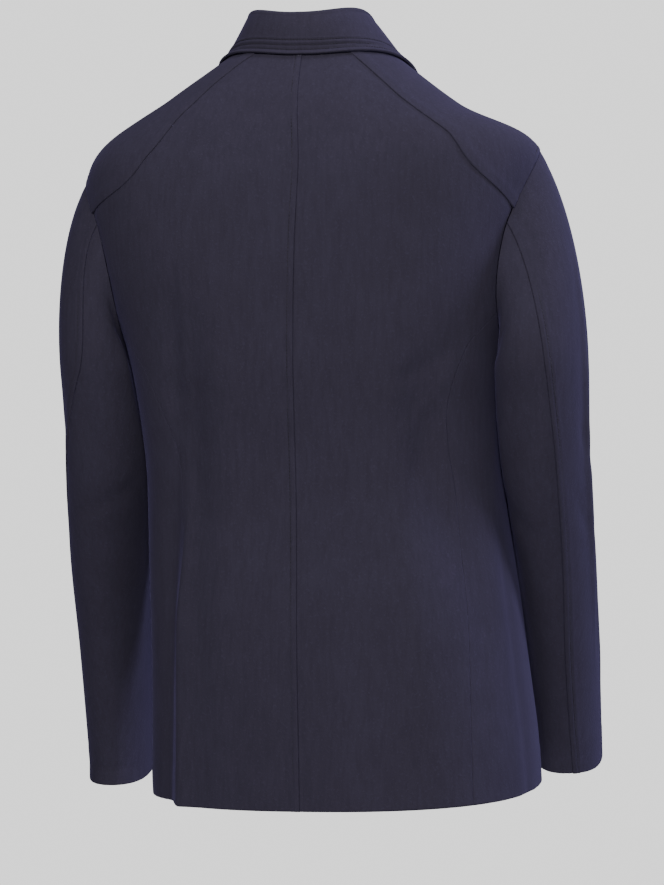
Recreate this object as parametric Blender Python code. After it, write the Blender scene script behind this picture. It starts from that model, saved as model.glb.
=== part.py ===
"""A hip-length wool jacket as it is worn, hollow, with a turned-down collar and two-piece sleeves.

Metres, +Z up. The origin is the middle of the neck opening, where the shoulders carry the jacket.
The front faces -Y and the wearer's left is +X.

Every body panel lies on one shape, body_point(angle, down). Angle is in degrees round the body,
0 at the centre back, 90 at the wearer's left side, 180 at the centre front, negative on the right.
Down is the distance in metres from the neckline, over the shoulder and down the side, to the hem.
"""
import math

import bpy
import numpy as np

# Cloth and making.
CLOTH = 0.0024
SEAM_GAP = 0.0003
WOOL_COLOUR, WOOL_ROUGHNESS = (0.022, 0.020, 0.036, 1.0), 0.9
HORN_COLOUR, HORN_ROUGHNESS = (0.012, 0.011, 0.016, 1.0), 0.35
SHARP_ANGLE = math.radians(40)

# The body's sections from the neckline to the hem. back, front, middle and z_ columns are places,
# shift is how far the section stands to the wearer's left, square its squareness (2 is an ellipse),
# twist how far it is turned towards the wearer's left, in degrees, and left_drop how much lower it
# hangs for each metre to the wearer's left.
BODY_COLUMNS = ("down", "half_width", "back", "front", "middle",
                "z_back", "z_side", "z_front", "shift", "square", "twist", "left_drop")
MIDDLE, Z_SIDE, LEFT_DROP = (BODY_COLUMNS.index(name) for name in ("middle", "z_side", "left_drop"))
BODY_ROWS = np.array([
    (0.000, 0.070, 0.066, -0.086, -0.002, -0.009, -0.010, -0.078, 0.000, 2.0, -1.0, 0.000),
    (0.092, 0.149, 0.103, -0.110, 0.000, -0.066, -0.065, -0.122, 0.000, 2.1, -2.0, -0.020),
    (0.182, 0.220, 0.121, -0.121, -0.013, -0.128, -0.110, -0.170, -0.0025, 2.2, -2.5, 0.010),
    (0.276, 0.210, 0.127, -0.126, -0.008, -0.205, -0.200, -0.232, 0.000, 2.3, -2.5, 0.000),
    (0.392, 0.190, 0.122, -0.126, -0.003, -0.315, -0.315, -0.320, 0.000, 2.4, -1.5, 0.000),
    (0.507, 0.177, 0.109, -0.119, 0.000, -0.430, -0.430, -0.432, -0.005, 2.4, 1.0, 0.010),
    (0.657, 0.183, 0.129, -0.126, 0.000, -0.580, -0.580, -0.581, -0.018, 2.4, 4.3, 0.030),
    (0.830, 0.1945, 0.141, -0.137, 0.000, -0.755, -0.755, -0.755, -0.030, 2.4, 6.6, 0.045),
])
HEM = BODY_ROWS[-1][0]

# Folds of the body: a row for each. Angle at its top and bottom, where it starts, is full, fades and
# ends (down), its half width in degrees and its height, negative for a trough. A fold has come to its
# bottom angle at FOLD_TURNED.
FOLD_TURNED = 0.75
BODY_FOLDS = np.array([
    # angle_top, angle_bottom, starts, full, fades, ends, half_width, height
    (88.0, 88.0, 0.130, 0.240, 0.26, 0.42, 42.0, 0.0190),
    (55.0, 49.0, 0.42, 0.56, 0.90, 1.00, 5.0, 0.0060),
    (46.0, 62.0, 0.28, 0.48, 0.86, 1.00, 9.0, -0.0085),
    (30.0, 36.0, 0.22, 0.40, 0.55, 0.80, 9.0, 0.0030),
    (-50.0, -72.0, 0.34, 0.46, 0.60, 0.80, 8.0, -0.0055),
    (-38.0, -46.0, 0.30, 0.44, 0.60, 0.82, 8.0, 0.0030),
    (104.0, 112.0, 0.42, 0.60, 0.90, 1.00, 8.0, 0.0040),
    (-104.0, -110.0, 0.42, 0.60, 0.90, 1.00, 8.0, 0.0040),
    (140.0, 146.0, 0.40, 0.60, 0.80, 0.95, 9.0, -0.0035),
    (-138.0, -146.0, 0.40, 0.60, 0.80, 0.95, 9.0, -0.0035),
    (-96.0, -98.0, 0.42, 0.54, 0.76, 0.88, 26.0, 0.0068),
    (84.0, 84.0, 0.48, 0.60, 0.80, 0.90, 20.0, 0.0048),
])

# Seams of the body, as the angle at each distance down.
YOKE_SEAM_BACK = {
    "left": ((0.000, 28.0), (0.030, 40.8), (0.066, 48.0), (0.122, 52.4), (0.188, 54.6), (0.230, 63.2)),
    "right": ((0.000, 28.0), (0.032, 38.4), (0.066, 45.6), (0.096, 49.6), (0.158, 53.6), (0.214, 60.0)),
}
YOKE_SEAM_FRONT = ((0.000, 128.0), (0.080, 119.0), (0.150, 114.0))
SIDE_SEAM_DOWN = (0.377, 0.401, 0.435, 0.477, 0.520, 0.590, 0.730, 0.830)
SIDE_SEAM_BACK = {
    "left": (72.0, 65.8, 61.3, 58.0, 56.0, 55.0, 54.5, 54.0),
    "right": (65.8, 62.6, 61.0, 62.8, 65.6, 66.0, 61.8, 59.5),
}
SIDE_SEAM_FRONT = (114.5, 115.5, 116.5, 117.0, 117.5, 118.0, 118.5, 119.0)

# The armhole is an oval in angle and down. Its own angle is 0 at the shoulder tip and 90 at the back,
# and the seams that end on it are at these angles.
ARMHOLE_KEYS = ("angle", "down", "half_back", "half_front", "half_down", "skew")
ARMHOLE = {
    "left": dict(zip(ARMHOLE_KEYS, (95.0, 0.297, 23.0, 23.5, 0.092, 0.0))),
    "right": dict(zip(ARMHOLE_KEYS, (94.0, 0.286, 22.0, 23.5, 0.103, 0.12))),
}
ARM_YOKE_BACK = {"left": 59.5, "right": 69.5}
ARM_SLEEVE_BACK = {"left": 68.0, "right": 77.5}
ARM_SIDE_BACK, ARM_SIDE_FRONT = 128.6, 231.4
ARM_SLEEVE_FRONT, ARM_YOKE_FRONT = 246.0, 312.9

# Front overlap, left over right.
LAP = 0.024
LAP_RISE = 0.0031
LAP_RAMP_DEG = 16.0

# Sleeve sections for either arm, from under the armhole to the cuff. out is how far the middle stands
# out from the body's, lean how much lower the section's back hangs than its middle.
SLEEVE_COLUMNS = ("z", "out", "place_y", "half_x", "half_y", "square", "lean")
SLEEVE_ROWS = np.array([
    (-0.335, 0.2300, -0.0120, 0.0480, 0.0780, 2.2, 0.000),
    (-0.430, 0.2330, -0.0340, 0.0465, 0.0700, 2.15, 0.002),
    (-0.520, 0.2370, -0.0700, 0.0415, 0.0640, 2.1, 0.006),
    (-0.620, 0.2400, -0.1080, 0.0365, 0.0600, 2.1, 0.007),
    (-0.752, 0.2420, -0.1520, 0.0325, 0.0555, 2.1, 0.007),
])
SLEEVE_OUT = {"left": (-0.010, -0.008, 0.000, 0.004, 0.009), "right": (-0.004, -0.006, -0.003, -0.001, 0.000)}
SLEEVE_SEAM_BACK = {
    "left": (8.0, 36.0, 60.0, 66.0, 62.0),
    "right": (12.0, 18.5, 14.5, 8.5, 9.5),
}
SLEEVE_SEAM_FRONT = {
    "left": (205.0, 208.0, 212.0, 214.0, 214.0),
    "right": (198.0, 198.0, 198.0, 196.0, 196.0),
}
CUFF_LENGTHEN = {"left": 0.018, "right": -0.012}
# Room kept between sleeve and body, how softly it is kept, and where it no longer matters.
BODY_CLEARANCE, CLEAR_SOFTNESS, CLEAR_BEYOND = 0.0022, 0.0015, 30.0
# The sleeve head: which way it leaves the armhole, under the arm and at the shoulder, between which
# heights that changes, how much fuller it is at the back and front, and how stiffly it bends.
HEAD_LEAVE_UNDER = (0.35, 0.0, -1.0)
HEAD_LEAVE_TOP = (0.52, 0.0, -0.85)
HEAD_LIFT = (-0.315, -0.20)
HEAD_FULLNESS = 1.2
HEAD_PULL = 0.88
HEAD_ARRIVE = 0.004
# The joint at the armhole: how far along the sleeve its way out is read, and its sharpest mitre.
JOINT_ALONG, JOINT_TURN, JOINT_MITRE = 0.03, 0.5, 0.7
# Folds of the sleeves: angle round the arm at top and bottom, z where it starts, is full, fades, ends.
SLEEVE_FOLDS = {
    "left": np.array([
        (40.0, 70.0, -0.30, -0.38, -0.46, -0.56, 16.0, -0.0030),
        (250.0, 215.0, -0.36, -0.41, -0.45, -0.52, 20.0, -0.0040),
    ]),
    "right": np.array([
        (78.0, 62.0, -0.20, -0.32, -0.46, -0.62, 9.0, 0.0030),
        (350.0, 335.0, -0.30, -0.36, -0.40, -0.50, 18.0, -0.0040),
        (250.0, 215.0, -0.36, -0.41, -0.45, -0.52, 20.0, -0.0040),
    ]),
}

# Collar: half of it by angle round the neck. rise is the stand's height, lean how far its top leans in,
# reach how far down the body the fall's edge lies, spread how far its edge is turned back. Its fold
# stands a little to the wearer's left.
COLLAR_ANGLES = (0.0, 40.0, 75.0, 110.0, 150.0, 176.0)
COLLAR_RISE = (0.027, 0.0265, 0.024, 0.020, 0.014, 0.008)
COLLAR_LEAN = (0.001, 0.005, 0.010, 0.010, 0.006, 0.003)
COLLAR_REACH = (0.020, 0.023, 0.029, 0.041, 0.059, 0.084)
COLLAR_SPREAD = (0.0, 0.0, 1.0, 4.0, 12.0, 25.0)
COLLAR_SWAY = 0.0045
COLLAR_ROLL = 0.0040
COLLAR_DROP = 0.45
COLLAR_CLEAR = 0.0009
COLLAR_COLUMNS, STAND_ROWS, ROLL_ROWS, FALL_ROWS = 41, 4, 5, 8
# The grid of the body under the collar: how far down it goes, its columns and its rows.
UNDER_COLLAR, UNDER_COLUMNS, UNDER_ROWS = 0.16, 361, 81

# Buttons on the centre front.
BUTTON_RADIUS, BUTTON_THICK, BUTTON_STEPS = 0.0120, 0.0036, 16
BUTTON_FIRST, BUTTON_LAST, BUTTON_COUNT = 0.040, 0.560, 5
BUTTON_LIFT = 0.0006
# A button's outline from its underside to its dished face, as shares of its radius and thickness.
BUTTON_OUTLINE = (
    (0.0, 0.0), (0.90, 0.0), (1.0, 0.35), (1.0, 0.70), (0.93, 1.0), (0.783, 1.0), (0.675, 0.72), (0.0, 0.66),
)

# Grids: rows down a yoke seam and a side seam, columns of each panel, and rows of a sleeve.
YOKE_ROWS, SIDE_ROWS, SIDE_GROWTH = 9, 13, 1.15
BACK_COLUMNS, YOKE_COLUMNS, SIDE_COLUMNS = 9, 11, 9
BACK_HOLE_ROWS, FRONT_HOLE_ROWS = 5, 6
FRONT_COLUMNS = np.array([0.0, 0.1, 0.2, 0.3, 0.4, 0.5, 0.6, 0.7, 0.82, 0.92, 1.0])[:, None]
HEAD_ROWS, ARM_ROWS = 8, 11
# Steps for reading a surface's slope: degrees and metres on the body, degrees and share on a sleeve.
BODY_TURN, BODY_STEP = 0.4, 0.002
SLEEVE_TURN, SLEEVE_STEP = 0.8, 0.01

SIDES = {"left": 1, "right": -1}
UP = np.array([0.0, 0.0, 1.0])


def spline(knots, values, at):
    """A smooth curve through the values at their knots, read at each of at."""
    knots, values = np.asarray(knots, float), np.asarray(values, float)
    at = np.clip(np.asarray(at, float), knots[0], knots[-1])
    slopes = np.gradient(values, knots)
    i = np.clip(np.searchsorted(knots, at) - 1, 0, len(knots) - 2)
    step = knots[i + 1] - knots[i]
    s = (at - knots[i]) / step
    return ((1 + 2 * s) * (1 - s) ** 2 * values[i] + s * (1 - s) ** 2 * step * slopes[i]
            + s * s * (3 - 2 * s) * values[i + 1] + s * s * (s - 1) * step * slopes[i + 1])


def smooth_step(low, high, at):
    """0 below low, 1 above high, and a smooth rise between them."""
    s = np.clip((at - low) / (high - low), 0, 1)
    return s * s * (3 - 2 * s)


def unit(vectors):
    return vectors / np.maximum(np.linalg.norm(vectors, axis=-1, keepdims=True), 1e-12)


def body_section(down):
    """The body table's columns at these distances down."""
    return {name: spline(BODY_ROWS[:, 0], BODY_ROWS[:, k], down) for k, name in enumerate(BODY_COLUMNS)}


def turned(degrees):
    """An angle brought to between -180 and 180."""
    return (degrees + 180.0) % 360.0 - 180.0


def body_folds(angle, down):
    """How far the folds push the cloth out."""
    push = np.zeros(np.broadcast(angle, down).shape)
    for top, bottom, starts, full, fades, ends, half, height in BODY_FOLDS:
        centre = top + (bottom - top) * smooth_step(starts, FOLD_TURNED, down)
        along = smooth_step(starts, full, down) * (1 - smooth_step(fades, ends, down))
        push += height * along * np.exp(-((turned(angle - centre)) / half) ** 2)
    return push


def body_radius(section, angle):
    """The section's radius at an angle round its own middle, with no folds or twist."""
    sine, cosine = np.sin(np.radians(angle)), np.cos(np.radians(angle))
    depth = np.where(cosine > 0, section["back"] - section["middle"], section["middle"] - section["front"])
    n = section["square"]
    return ((np.abs(sine) / section["half_width"]) ** n + (np.abs(cosine) / depth) ** n) ** (-1 / n)


def body_point(angle, down):
    """A point of the body's outer surface."""
    angle, down = np.broadcast_arrays(np.asarray(angle, float), np.asarray(down, float))
    section = body_section(down)
    cosine = np.cos(np.radians(angle))
    radius = body_radius(section, angle) + body_folds(angle, down)
    around = np.radians(angle + section["twist"])
    z = (section["z_side"] + (section["z_back"] - section["z_front"]) / 2 * cosine
         + ((section["z_back"] + section["z_front"]) / 2 - section["z_side"]) * cosine ** 2)
    x = section["shift"] + radius * np.sin(around)
    return np.stack([x, section["middle"] + radius * np.cos(around), z - section["left_drop"] * x], -1)


def body_normal(angle, down):
    """The outward normal of the body's surface."""
    across = body_point(angle + BODY_TURN, down) - body_point(angle - BODY_TURN, down)
    lower, upper = np.minimum(down + BODY_STEP, HEM), np.maximum(down - BODY_STEP, 0)
    return unit(np.cross(across, body_point(angle, lower) - body_point(angle, upper)))


def armhole(side, degrees):
    """(angle, down) of the armhole's edge at its own angle, with the angle counted away from the back."""
    turn = np.radians(degrees)
    hole = ARMHOLE[side]
    half = np.where(np.sin(turn) > 0, hole["half_back"], hole["half_front"])
    angle = hole["angle"] - half * (1 - hole["skew"] * np.cos(turn)) * np.sin(turn)
    return np.stack([angle, hole["down"] - hole["half_down"] * np.cos(turn)], -1)


def along_rows(seam, lengths):
    """(angle, down) pairs down a seam at these distances."""
    return np.stack([spline(seam[:, 0], seam[:, 1], lengths), lengths], -1)


def yoke_seam(side, back):
    """(angle, down) pairs down a yoke's seam, from the neckline to the armhole."""
    rows = YOKE_SEAM_BACK[side] if back else YOKE_SEAM_FRONT
    end = armhole(side, ARM_YOKE_BACK[side] if back else ARM_YOKE_FRONT)
    seam = np.vstack([rows, end[::-1]])
    return along_rows(seam, np.linspace(0, end[1], YOKE_ROWS))


def coons(left, right, top, bottom):
    """A grid of pairs filled between four edges. left and right run down, top and bottom run across."""
    b = np.linspace(0, 1, len(left))[:, None, None]
    a = np.linspace(0, 1, len(top))[None, :, None]
    ruled = (1 - a) * left[:, None] + a * right[:, None] + (1 - b) * top[None] + b * bottom[None]
    top_corners = (1 - a) * top[0] + a * top[-1]
    bottom_corners = (1 - a) * bottom[0] + a * bottom[-1]
    return ruled - (1 - b) * top_corners - b * bottom_corners


def pull_edges(outer, inner, amount):
    """Draws each edge of a grid back along the cloth, square to the edge, which leaves the gap at a seam."""
    for grid in (outer, inner):
        for view in (grid, grid[::-1], grid.transpose(1, 0, 2), grid.transpose(1, 0, 2)[::-1]):
            edge = unit(np.gradient(view[0], axis=0))
            inward = view[1] - view[0]
            view[0] += amount * unit(inward - (inward * edge).sum(-1, keepdims=True) * edge)
    return outer, inner


def material(name, colour, roughness):
    made = bpy.data.materials.new(name)
    made.use_nodes = True
    shader = made.node_tree.nodes["Principled BSDF"]
    shader.inputs["Base Color"].default_value = colour
    shader.inputs["Roughness"].default_value = roughness
    shader.inputs["Metallic"].default_value = 0.0
    return made


def cloth_piece(name, outer, inner, finish):
    """One closed solid from the outer and inner grids of a piece of cloth."""
    rows, columns = outer.shape[:2]
    count = rows * columns
    number = np.arange(count).reshape(rows, columns)
    faces = []
    for i in range(rows - 1):
        for j in range(columns - 1):
            quad = (number[i, j], number[i, j + 1], number[i + 1, j + 1], number[i + 1, j])
            faces.append(quad)
            faces.append(tuple(corner + count for corner in reversed(quad)))
    points = np.concatenate([outer.reshape(-1, 3), inner.reshape(-1, 3)])
    edge = list(number[0]) + list(number[1:, -1]) + list(number[-1, -2::-1]) + list(number[-2:0:-1, 0])
    # Both sides of a seam cut their edge's faces from its higher end, so that they match.
    for here, there in zip(edge, edge[1:] + edge[:1]):
        if points[here][2] < points[there][2]:
            faces += [(there, here, here + count), (there, here + count, there + count)]
        else:
            faces += [(there, here, there + count), (here, here + count, there + count)]
    across, along = np.diff(outer, axis=1)[:-1], np.diff(outer, axis=0)[:, :-1]
    if (np.cross(across, along) * (outer - inner)[:-1, :-1]).sum() < 0:
        faces = [tuple(reversed(face)) for face in faces]
    mesh = bpy.data.meshes.new(name)
    mesh.from_pydata([tuple(p) for p in points], [], [tuple(int(v) for v in face) for face in faces])
    mesh.materials.append(finish)
    mesh.shade_smooth()
    mesh.set_sharp_from_angle(angle=SHARP_ANGLE)
    made = bpy.data.objects.new(name, mesh)
    bpy.context.scene.collection.objects.link(made)
    return made


def body_panel(name, side, pairs, finish, hole, turns, rise=None):
    """A panel of the body from a grid of (angle, down) pairs, whose hole places lie on the armhole."""
    angle, down = SIDES[side] * pairs[..., 0], pairs[..., 1]
    normal = body_normal(angle, down)
    outer = body_point(angle, down)
    if rise is not None:
        outer = outer + normal * rise[..., None]
    through = normal.copy()
    through[hole] = armhole_joint(side, turns)[0]
    return cloth_piece(name, *pull_edges(outer, outer - through * CLOTH, SEAM_GAP / 2), finish)


def arm_turns(side):
    """The turns of the armhole along each panel that meets it: yoke and front, back, side and front."""
    yoke_back, sleeve_back = ARM_YOKE_BACK[side], ARM_SLEEVE_BACK[side]
    return {
        "yoke": np.linspace(yoke_back, ARM_YOKE_FRONT - 360, YOKE_COLUMNS),
        "back": np.concatenate([[yoke_back], np.linspace(sleeve_back, ARM_SIDE_BACK, BACK_HOLE_ROWS)]),
        "side": np.linspace(ARM_SIDE_BACK, ARM_SIDE_FRONT, SIDE_COLUMNS),
        "front": np.append(np.linspace(ARM_YOKE_FRONT, ARM_SLEEVE_FRONT, FRONT_HOLE_ROWS), ARM_SIDE_FRONT),
    }


def side_seam(side, back):
    """(angle, down) pairs down a side panel's seam, from the armhole to the hem."""
    start = armhole(side, ARM_SIDE_BACK if back else ARM_SIDE_FRONT)
    angles = SIDE_SEAM_BACK[side] if back else SIDE_SEAM_FRONT
    seam = np.vstack([start[::-1], np.column_stack([SIDE_SEAM_DOWN, angles])])
    return along_rows(seam, start[1] + (HEM - start[1]) * np.linspace(0, 1, SIDE_ROWS) ** SIDE_GROWTH)


def outer_edge(side, back):
    """(angle, down) pairs of the outer edge of a back or a front: yoke seam, armhole, side seam."""
    hole = armhole(side, arm_turns(side)["back" if back else "front"])
    return np.concatenate([yoke_seam(side, back), hole[1:], side_seam(side, back)[1:]])


def make_backs(finish):
    for side in SIDES:
        edge = outer_edge(side, back=True)
        middle = np.column_stack([np.zeros(len(edge)), edge[:, 1]])
        share = np.linspace(0, 1, BACK_COLUMNS)[:, None]
        pairs = coons(middle, edge, middle[0] + share * (edge[0] - middle[0]),
                      middle[-1] + share * (edge[-1] - middle[-1]))
        turns = arm_turns(side)["back"]
        hole = np.s_[YOKE_ROWS - 1:YOKE_ROWS - 1 + len(turns), -1]
        body_panel("back_" + side, side, pairs, finish, hole, turns)


def make_yokes(finish):
    for side in SIDES:
        back, front = yoke_seam(side, back=True), yoke_seam(side, back=False)
        turns = arm_turns(side)["yoke"]
        edge = armhole(side, turns)
        neck = back[0] + np.linspace(0, 1, len(edge))[:, None] * (front[0] - back[0])
        body_panel("yoke_" + side, side, coons(back, front, neck, edge), finish, np.s_[-1, :], turns)


def make_sides(finish):
    for side in SIDES:
        back, front = side_seam(side, back=True), side_seam(side, back=False)
        turns = arm_turns(side)["side"]
        edge = armhole(side, turns)
        hem = back[-1] + np.linspace(0, 1, len(edge))[:, None] * (front[-1] - back[-1])
        body_panel("side_" + side, side, coons(back, front, edge, hem), finish, np.s_[0, :], turns)


def lap_degrees(down):
    """How far past the centre front each front reaches, in degrees."""
    section = body_section(down)
    return np.degrees(LAP / (section["middle"] - section["front"]))


def lap_rise(angle, down):
    """How much higher the front that lies on top runs near its edge."""
    start = 180 - lap_degrees(down)
    return LAP_RISE * smooth_step(start - LAP_RAMP_DEG, start, angle)


def make_fronts(finish):
    for side in SIDES:
        edge = outer_edge(side, back=False)
        down = edge[:, 1]
        middle = np.column_stack([180 + lap_degrees(down), down])
        pairs = edge[:, None] + FRONT_COLUMNS[None] * (middle - edge)[:, None]
        rise = lap_rise(pairs[..., 0], pairs[..., 1]) if side == "left" else None
        turns = arm_turns(side)["front"]
        hole = np.s_[YOKE_ROWS - 1:YOKE_ROWS - 1 + len(turns), 0]
        body_panel("front_" + side, side, pairs, finish, hole, turns, rise)


def sleeve_section(side, z):
    """The sleeve table's columns at these heights."""
    heights = -SLEEVE_ROWS[:, 0]
    section = {name: spline(heights, SLEEVE_ROWS[:, k], -z) for k, name in enumerate(SLEEVE_COLUMNS)}
    section["out"] = section["out"] + spline(heights, SLEEVE_OUT[side], -z)
    return section


def sleeve_angle(side, turn, z):
    """The angle round the arm, 0 at the back and 90 at the outside, that a turn of the armhole leads to."""
    heights = -SLEEVE_ROWS[:, 0]
    back = spline(heights, SLEEVE_SEAM_BACK[side], -z)
    front = spline(heights, SLEEVE_SEAM_FRONT[side], -z)
    start = ARM_SLEEVE_BACK[side]
    top = (start - turn) / (start - ARM_SLEEVE_FRONT + 360)
    under = (turn - start) / (ARM_SLEEVE_FRONT - start)
    return np.where(turn <= start, back + top * (front - back), back - under * (back + 360 - front))


def clear_of_body(points, room):
    """Moves points that come too near the body out to that room from its surface."""
    z_rows = -BODY_ROWS[:, Z_SIDE]
    height = points[..., 2] + np.interp(-points[..., 2], z_rows, BODY_ROWS[:, LEFT_DROP]) * points[..., 0]
    down = np.interp(-height, z_rows, BODY_ROWS[:, 0])
    section = body_section(down)
    x, y = points[..., 0] - section["shift"], points[..., 1] - section["middle"]
    angle = np.degrees(np.arctan2(x, y)) - section["twist"]
    limit = body_radius(section, angle) + body_folds(angle, down) + room
    radius = np.hypot(x, y)
    over = (radius - limit) / CLEAR_SOFTNESS
    wanted = limit + CLEAR_SOFTNESS * np.log1p(np.exp(np.clip(over, -CLEAR_BEYOND, CLEAR_BEYOND)))
    grown = np.where(over > CLEAR_BEYOND, radius, wanted) / radius
    return np.stack([section["shift"] + x * grown, section["middle"] + y * grown, points[..., 2]], -1)


def sleeve_ring(side, turn, z):
    """A point of the sleeve below the armhole, kept clear of the body."""
    section = sleeve_section(side, z)
    degrees = sleeve_angle(side, turn, z)
    sine, cosine = np.sin(np.radians(degrees)), np.cos(np.radians(degrees))
    n = section["square"]
    radius = ((np.abs(sine) / section["half_x"]) ** n + (np.abs(cosine) / section["half_y"]) ** n) ** (-1 / n)
    for top, bottom, starts, full, fades, ends, half, height in SLEEVE_FOLDS[side]:
        centre = top + (bottom - top) * smooth_step(-starts, -ends, -z)
        along = smooth_step(-starts, -full, -z) * (1 - smooth_step(-fades, -ends, -z))
        radius = radius + height * along * np.exp(-(turned(degrees - centre) / half) ** 2)
    x = SIDES[side] * (section["out"] + radius * sine)
    y = section["place_y"] + radius * cosine
    return clear_of_body(np.stack([x, y, z - section["lean"] * cosine], -1), BODY_CLEARANCE)


def sleeve_point(side, turn, along):
    """A point of the sleeve's outer surface. along is 0 at the armhole, 1 under it, 2 at the cuff."""
    turn, along = np.broadcast_arrays(np.asarray(turn, float), np.asarray(along, float))
    mirror = np.array([SIDES[side], 1.0, 1.0])
    first_z = np.full(turn.shape, SLEEVE_ROWS[0][0])
    cuff_z = SLEEVE_ROWS[-1][0] - CUFF_LENGTHEN[side]
    lower = sleeve_ring(side, turn, first_z + (cuff_z - first_z) * np.clip(along - 1, 0, 1))
    pairs = armhole(side, turn)
    start = body_point(SIDES[side] * pairs[..., 0], pairs[..., 1])
    bottom = sleeve_ring(side, turn, first_z)
    arrive = unit(sleeve_ring(side, turn, first_z - HEAD_ARRIVE) - bottom)
    lift = smooth_step(*HEAD_LIFT, start[..., 2])[..., None]
    leave = (1 - lift) * np.array(HEAD_LEAVE_UNDER) + lift * np.array(HEAD_LEAVE_TOP)
    leave = unit((leave + np.array([0.0, HEAD_FULLNESS, 0.0]) * start[..., 1:2]) * mirror)
    pull = np.linalg.norm(bottom - start, axis=-1, keepdims=True) * HEAD_PULL
    s = np.clip(along, 0, 1)[..., None]
    head = ((1 + 2 * s) * (1 - s) ** 2 * start + s * (1 - s) ** 2 * pull * leave
            + s * s * (3 - 2 * s) * bottom + s * s * (s - 1) * pull * arrive)
    return np.where((along < 1)[..., None], head, lower)


def sleeve_normal(side, turn, along):
    """The outward normal of the sleeve's surface."""
    across = sleeve_point(side, turn - SLEEVE_TURN, along) - sleeve_point(side, turn + SLEEVE_TURN, along)
    lower, upper = np.minimum(along + SLEEVE_STEP, 2), np.maximum(along - SLEEVE_STEP, 0)
    downward = sleeve_point(side, turn, lower) - sleeve_point(side, turn, upper)
    return unit(np.cross(across, downward)) * SIDES[side]


def armhole_joint(side, turn):
    """Where body and sleeve meet: the way through the cloth on either's side, and the way between them."""
    pairs, start = armhole(side, turn), np.zeros_like(turn)
    body_out = body_normal(SIDES[side] * pairs[..., 0], pairs[..., 1])
    sleeve_out = sleeve_normal(side, turn, start)
    edge = unit(sleeve_point(side, turn + JOINT_TURN, start) - sleeve_point(side, turn - JOINT_TURN, start))
    away = sleeve_point(side, turn, start + JOINT_ALONG) - sleeve_point(side, turn, start)
    away = unit(away - (away * edge).sum(-1, keepdims=True) * edge)
    panel = np.cross(body_out, edge) * SIDES[side]
    between = unit(away - panel)
    shared = unit(body_out + sleeve_out)
    shared = shared / np.maximum((shared * body_out).sum(-1, keepdims=True), JOINT_MITRE)
    folded = ((body_out * away).sum(-1) < 0)[..., None]
    return np.where(folded, shared, body_out), np.where(folded, shared, sleeve_out), between


def make_sleeves(finish):
    along = np.concatenate([np.linspace(0, 1, HEAD_ROWS), np.linspace(1, 2, ARM_ROWS)[1:]])[:, None]
    for side in SIDES:
        turns = arm_turns(side)
        parts = {
            "top": np.concatenate([[ARM_SLEEVE_BACK[side]], turns["yoke"], turns["front"][1:-1] - 360]),
            "under": np.concatenate([turns["back"][1:], turns["side"][1:], [ARM_SLEEVE_FRONT]]),
        }
        for part, turns in parts.items():
            outer = sleeve_point(side, turns[None], along)
            inner = outer - sleeve_normal(side, turns[None], along) * CLOTH
            _, through, between = armhole_joint(side, turns)
            inner[0] = outer[0] - through * CLOTH
            outer[0] += between * SEAM_GAP
            inner[0] += between * SEAM_GAP
            cloth_piece(f"sleeve_{part}_{side}", *pull_edges(outer, inner, SEAM_GAP / 2), finish)


def above_body(points, clear):
    """Lifts points that lie nearer to the body's upper part than clear, and above the front's overlap."""
    angle, down = np.meshgrid(np.linspace(-180, 180, UNDER_COLUMNS), np.linspace(0, UNDER_COLLAR, UNDER_ROWS))
    surface, normal = body_point(angle, down).reshape(-1, 3), body_normal(angle, down).reshape(-1, 3)
    rise = lap_rise(np.abs(angle), down).ravel()
    flat = points.reshape(-1, 3).copy()
    for k, point in enumerate(flat):
        near = np.argmin(((surface - point) ** 2).sum(-1))
        height = (point - surface[near]) @ normal[near]
        flat[k] += normal[near] * max(0.0, clear + rise[near] - height)
    return flat.reshape(points.shape)


def collar_lines(angle):
    """The collar's lines at angles round the neck: its foot, its fold, the way outward and its edge."""
    size = np.abs(angle)
    columns = (COLLAR_RISE, COLLAR_LEAN, COLLAR_REACH, COLLAR_SPREAD)
    rise, lean, reach, spread = (spline(COLLAR_ANGLES, values, size) for values in columns)
    foot = body_point(angle, np.zeros_like(angle))
    outward = unit((foot - np.array([0.0, BODY_ROWS[0][MIDDLE], 0.0])) * np.array([1.0, 1.0, 0.0]))
    share = (rise / COLLAR_RISE[0])[:, None]
    top = foot + UP * rise[:, None] - outward * lean[:, None] + np.array([COLLAR_SWAY, 0.0, 0.0]) * share
    edge = body_point(np.sign(angle) * (size - spread), reach)
    return foot, top, outward, edge


def make_collar(finish):
    angle = np.linspace(-COLLAR_ANGLES[-1], COLLAR_ANGLES[-1], COLLAR_COLUMNS)
    foot, top, outward, edge = collar_lines(angle)
    lifted = foot + UP * SEAM_GAP * 2
    outer = lifted + np.linspace(0, 1, STAND_ROWS)[:, None, None] * (top - lifted)
    cloth_piece("collar_stand", outer, outer - outward[None] * CLOTH, finish)
    rows_outer, rows_inner = [], []
    for turn in np.linspace(0, math.pi, ROLL_ROWS):
        middle = top + UP * SEAM_GAP + outward * COLLAR_ROLL / 2
        spoke = UP * math.sin(turn) - outward * math.cos(turn)
        rows_outer.append(middle + spoke * (COLLAR_ROLL / 2 + CLOTH))
        rows_inner.append(middle + spoke * COLLAR_ROLL / 2)
    start = rows_outer[-1]
    pull = start + COLLAR_DROP * (foot - top) + outward * COLLAR_ROLL
    share = np.linspace(0, 1, FALL_ROWS)[1:, None, None]
    curve = (1 - share) ** 2 * start + 2 * share * (1 - share) * pull + share ** 2 * edge
    fall = above_body(curve, CLOTH + COLLAR_CLEAR)
    outer = np.concatenate([rows_outer, fall])
    normal = unit(np.cross(np.gradient(outer, axis=1), np.gradient(outer, axis=0)))
    normal *= np.sign((normal[-1] * outward).sum())
    inner = np.concatenate([rows_inner, fall - normal[len(rows_outer):] * CLOTH])
    cloth_piece("collar_fall", outer, inner, finish)


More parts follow.
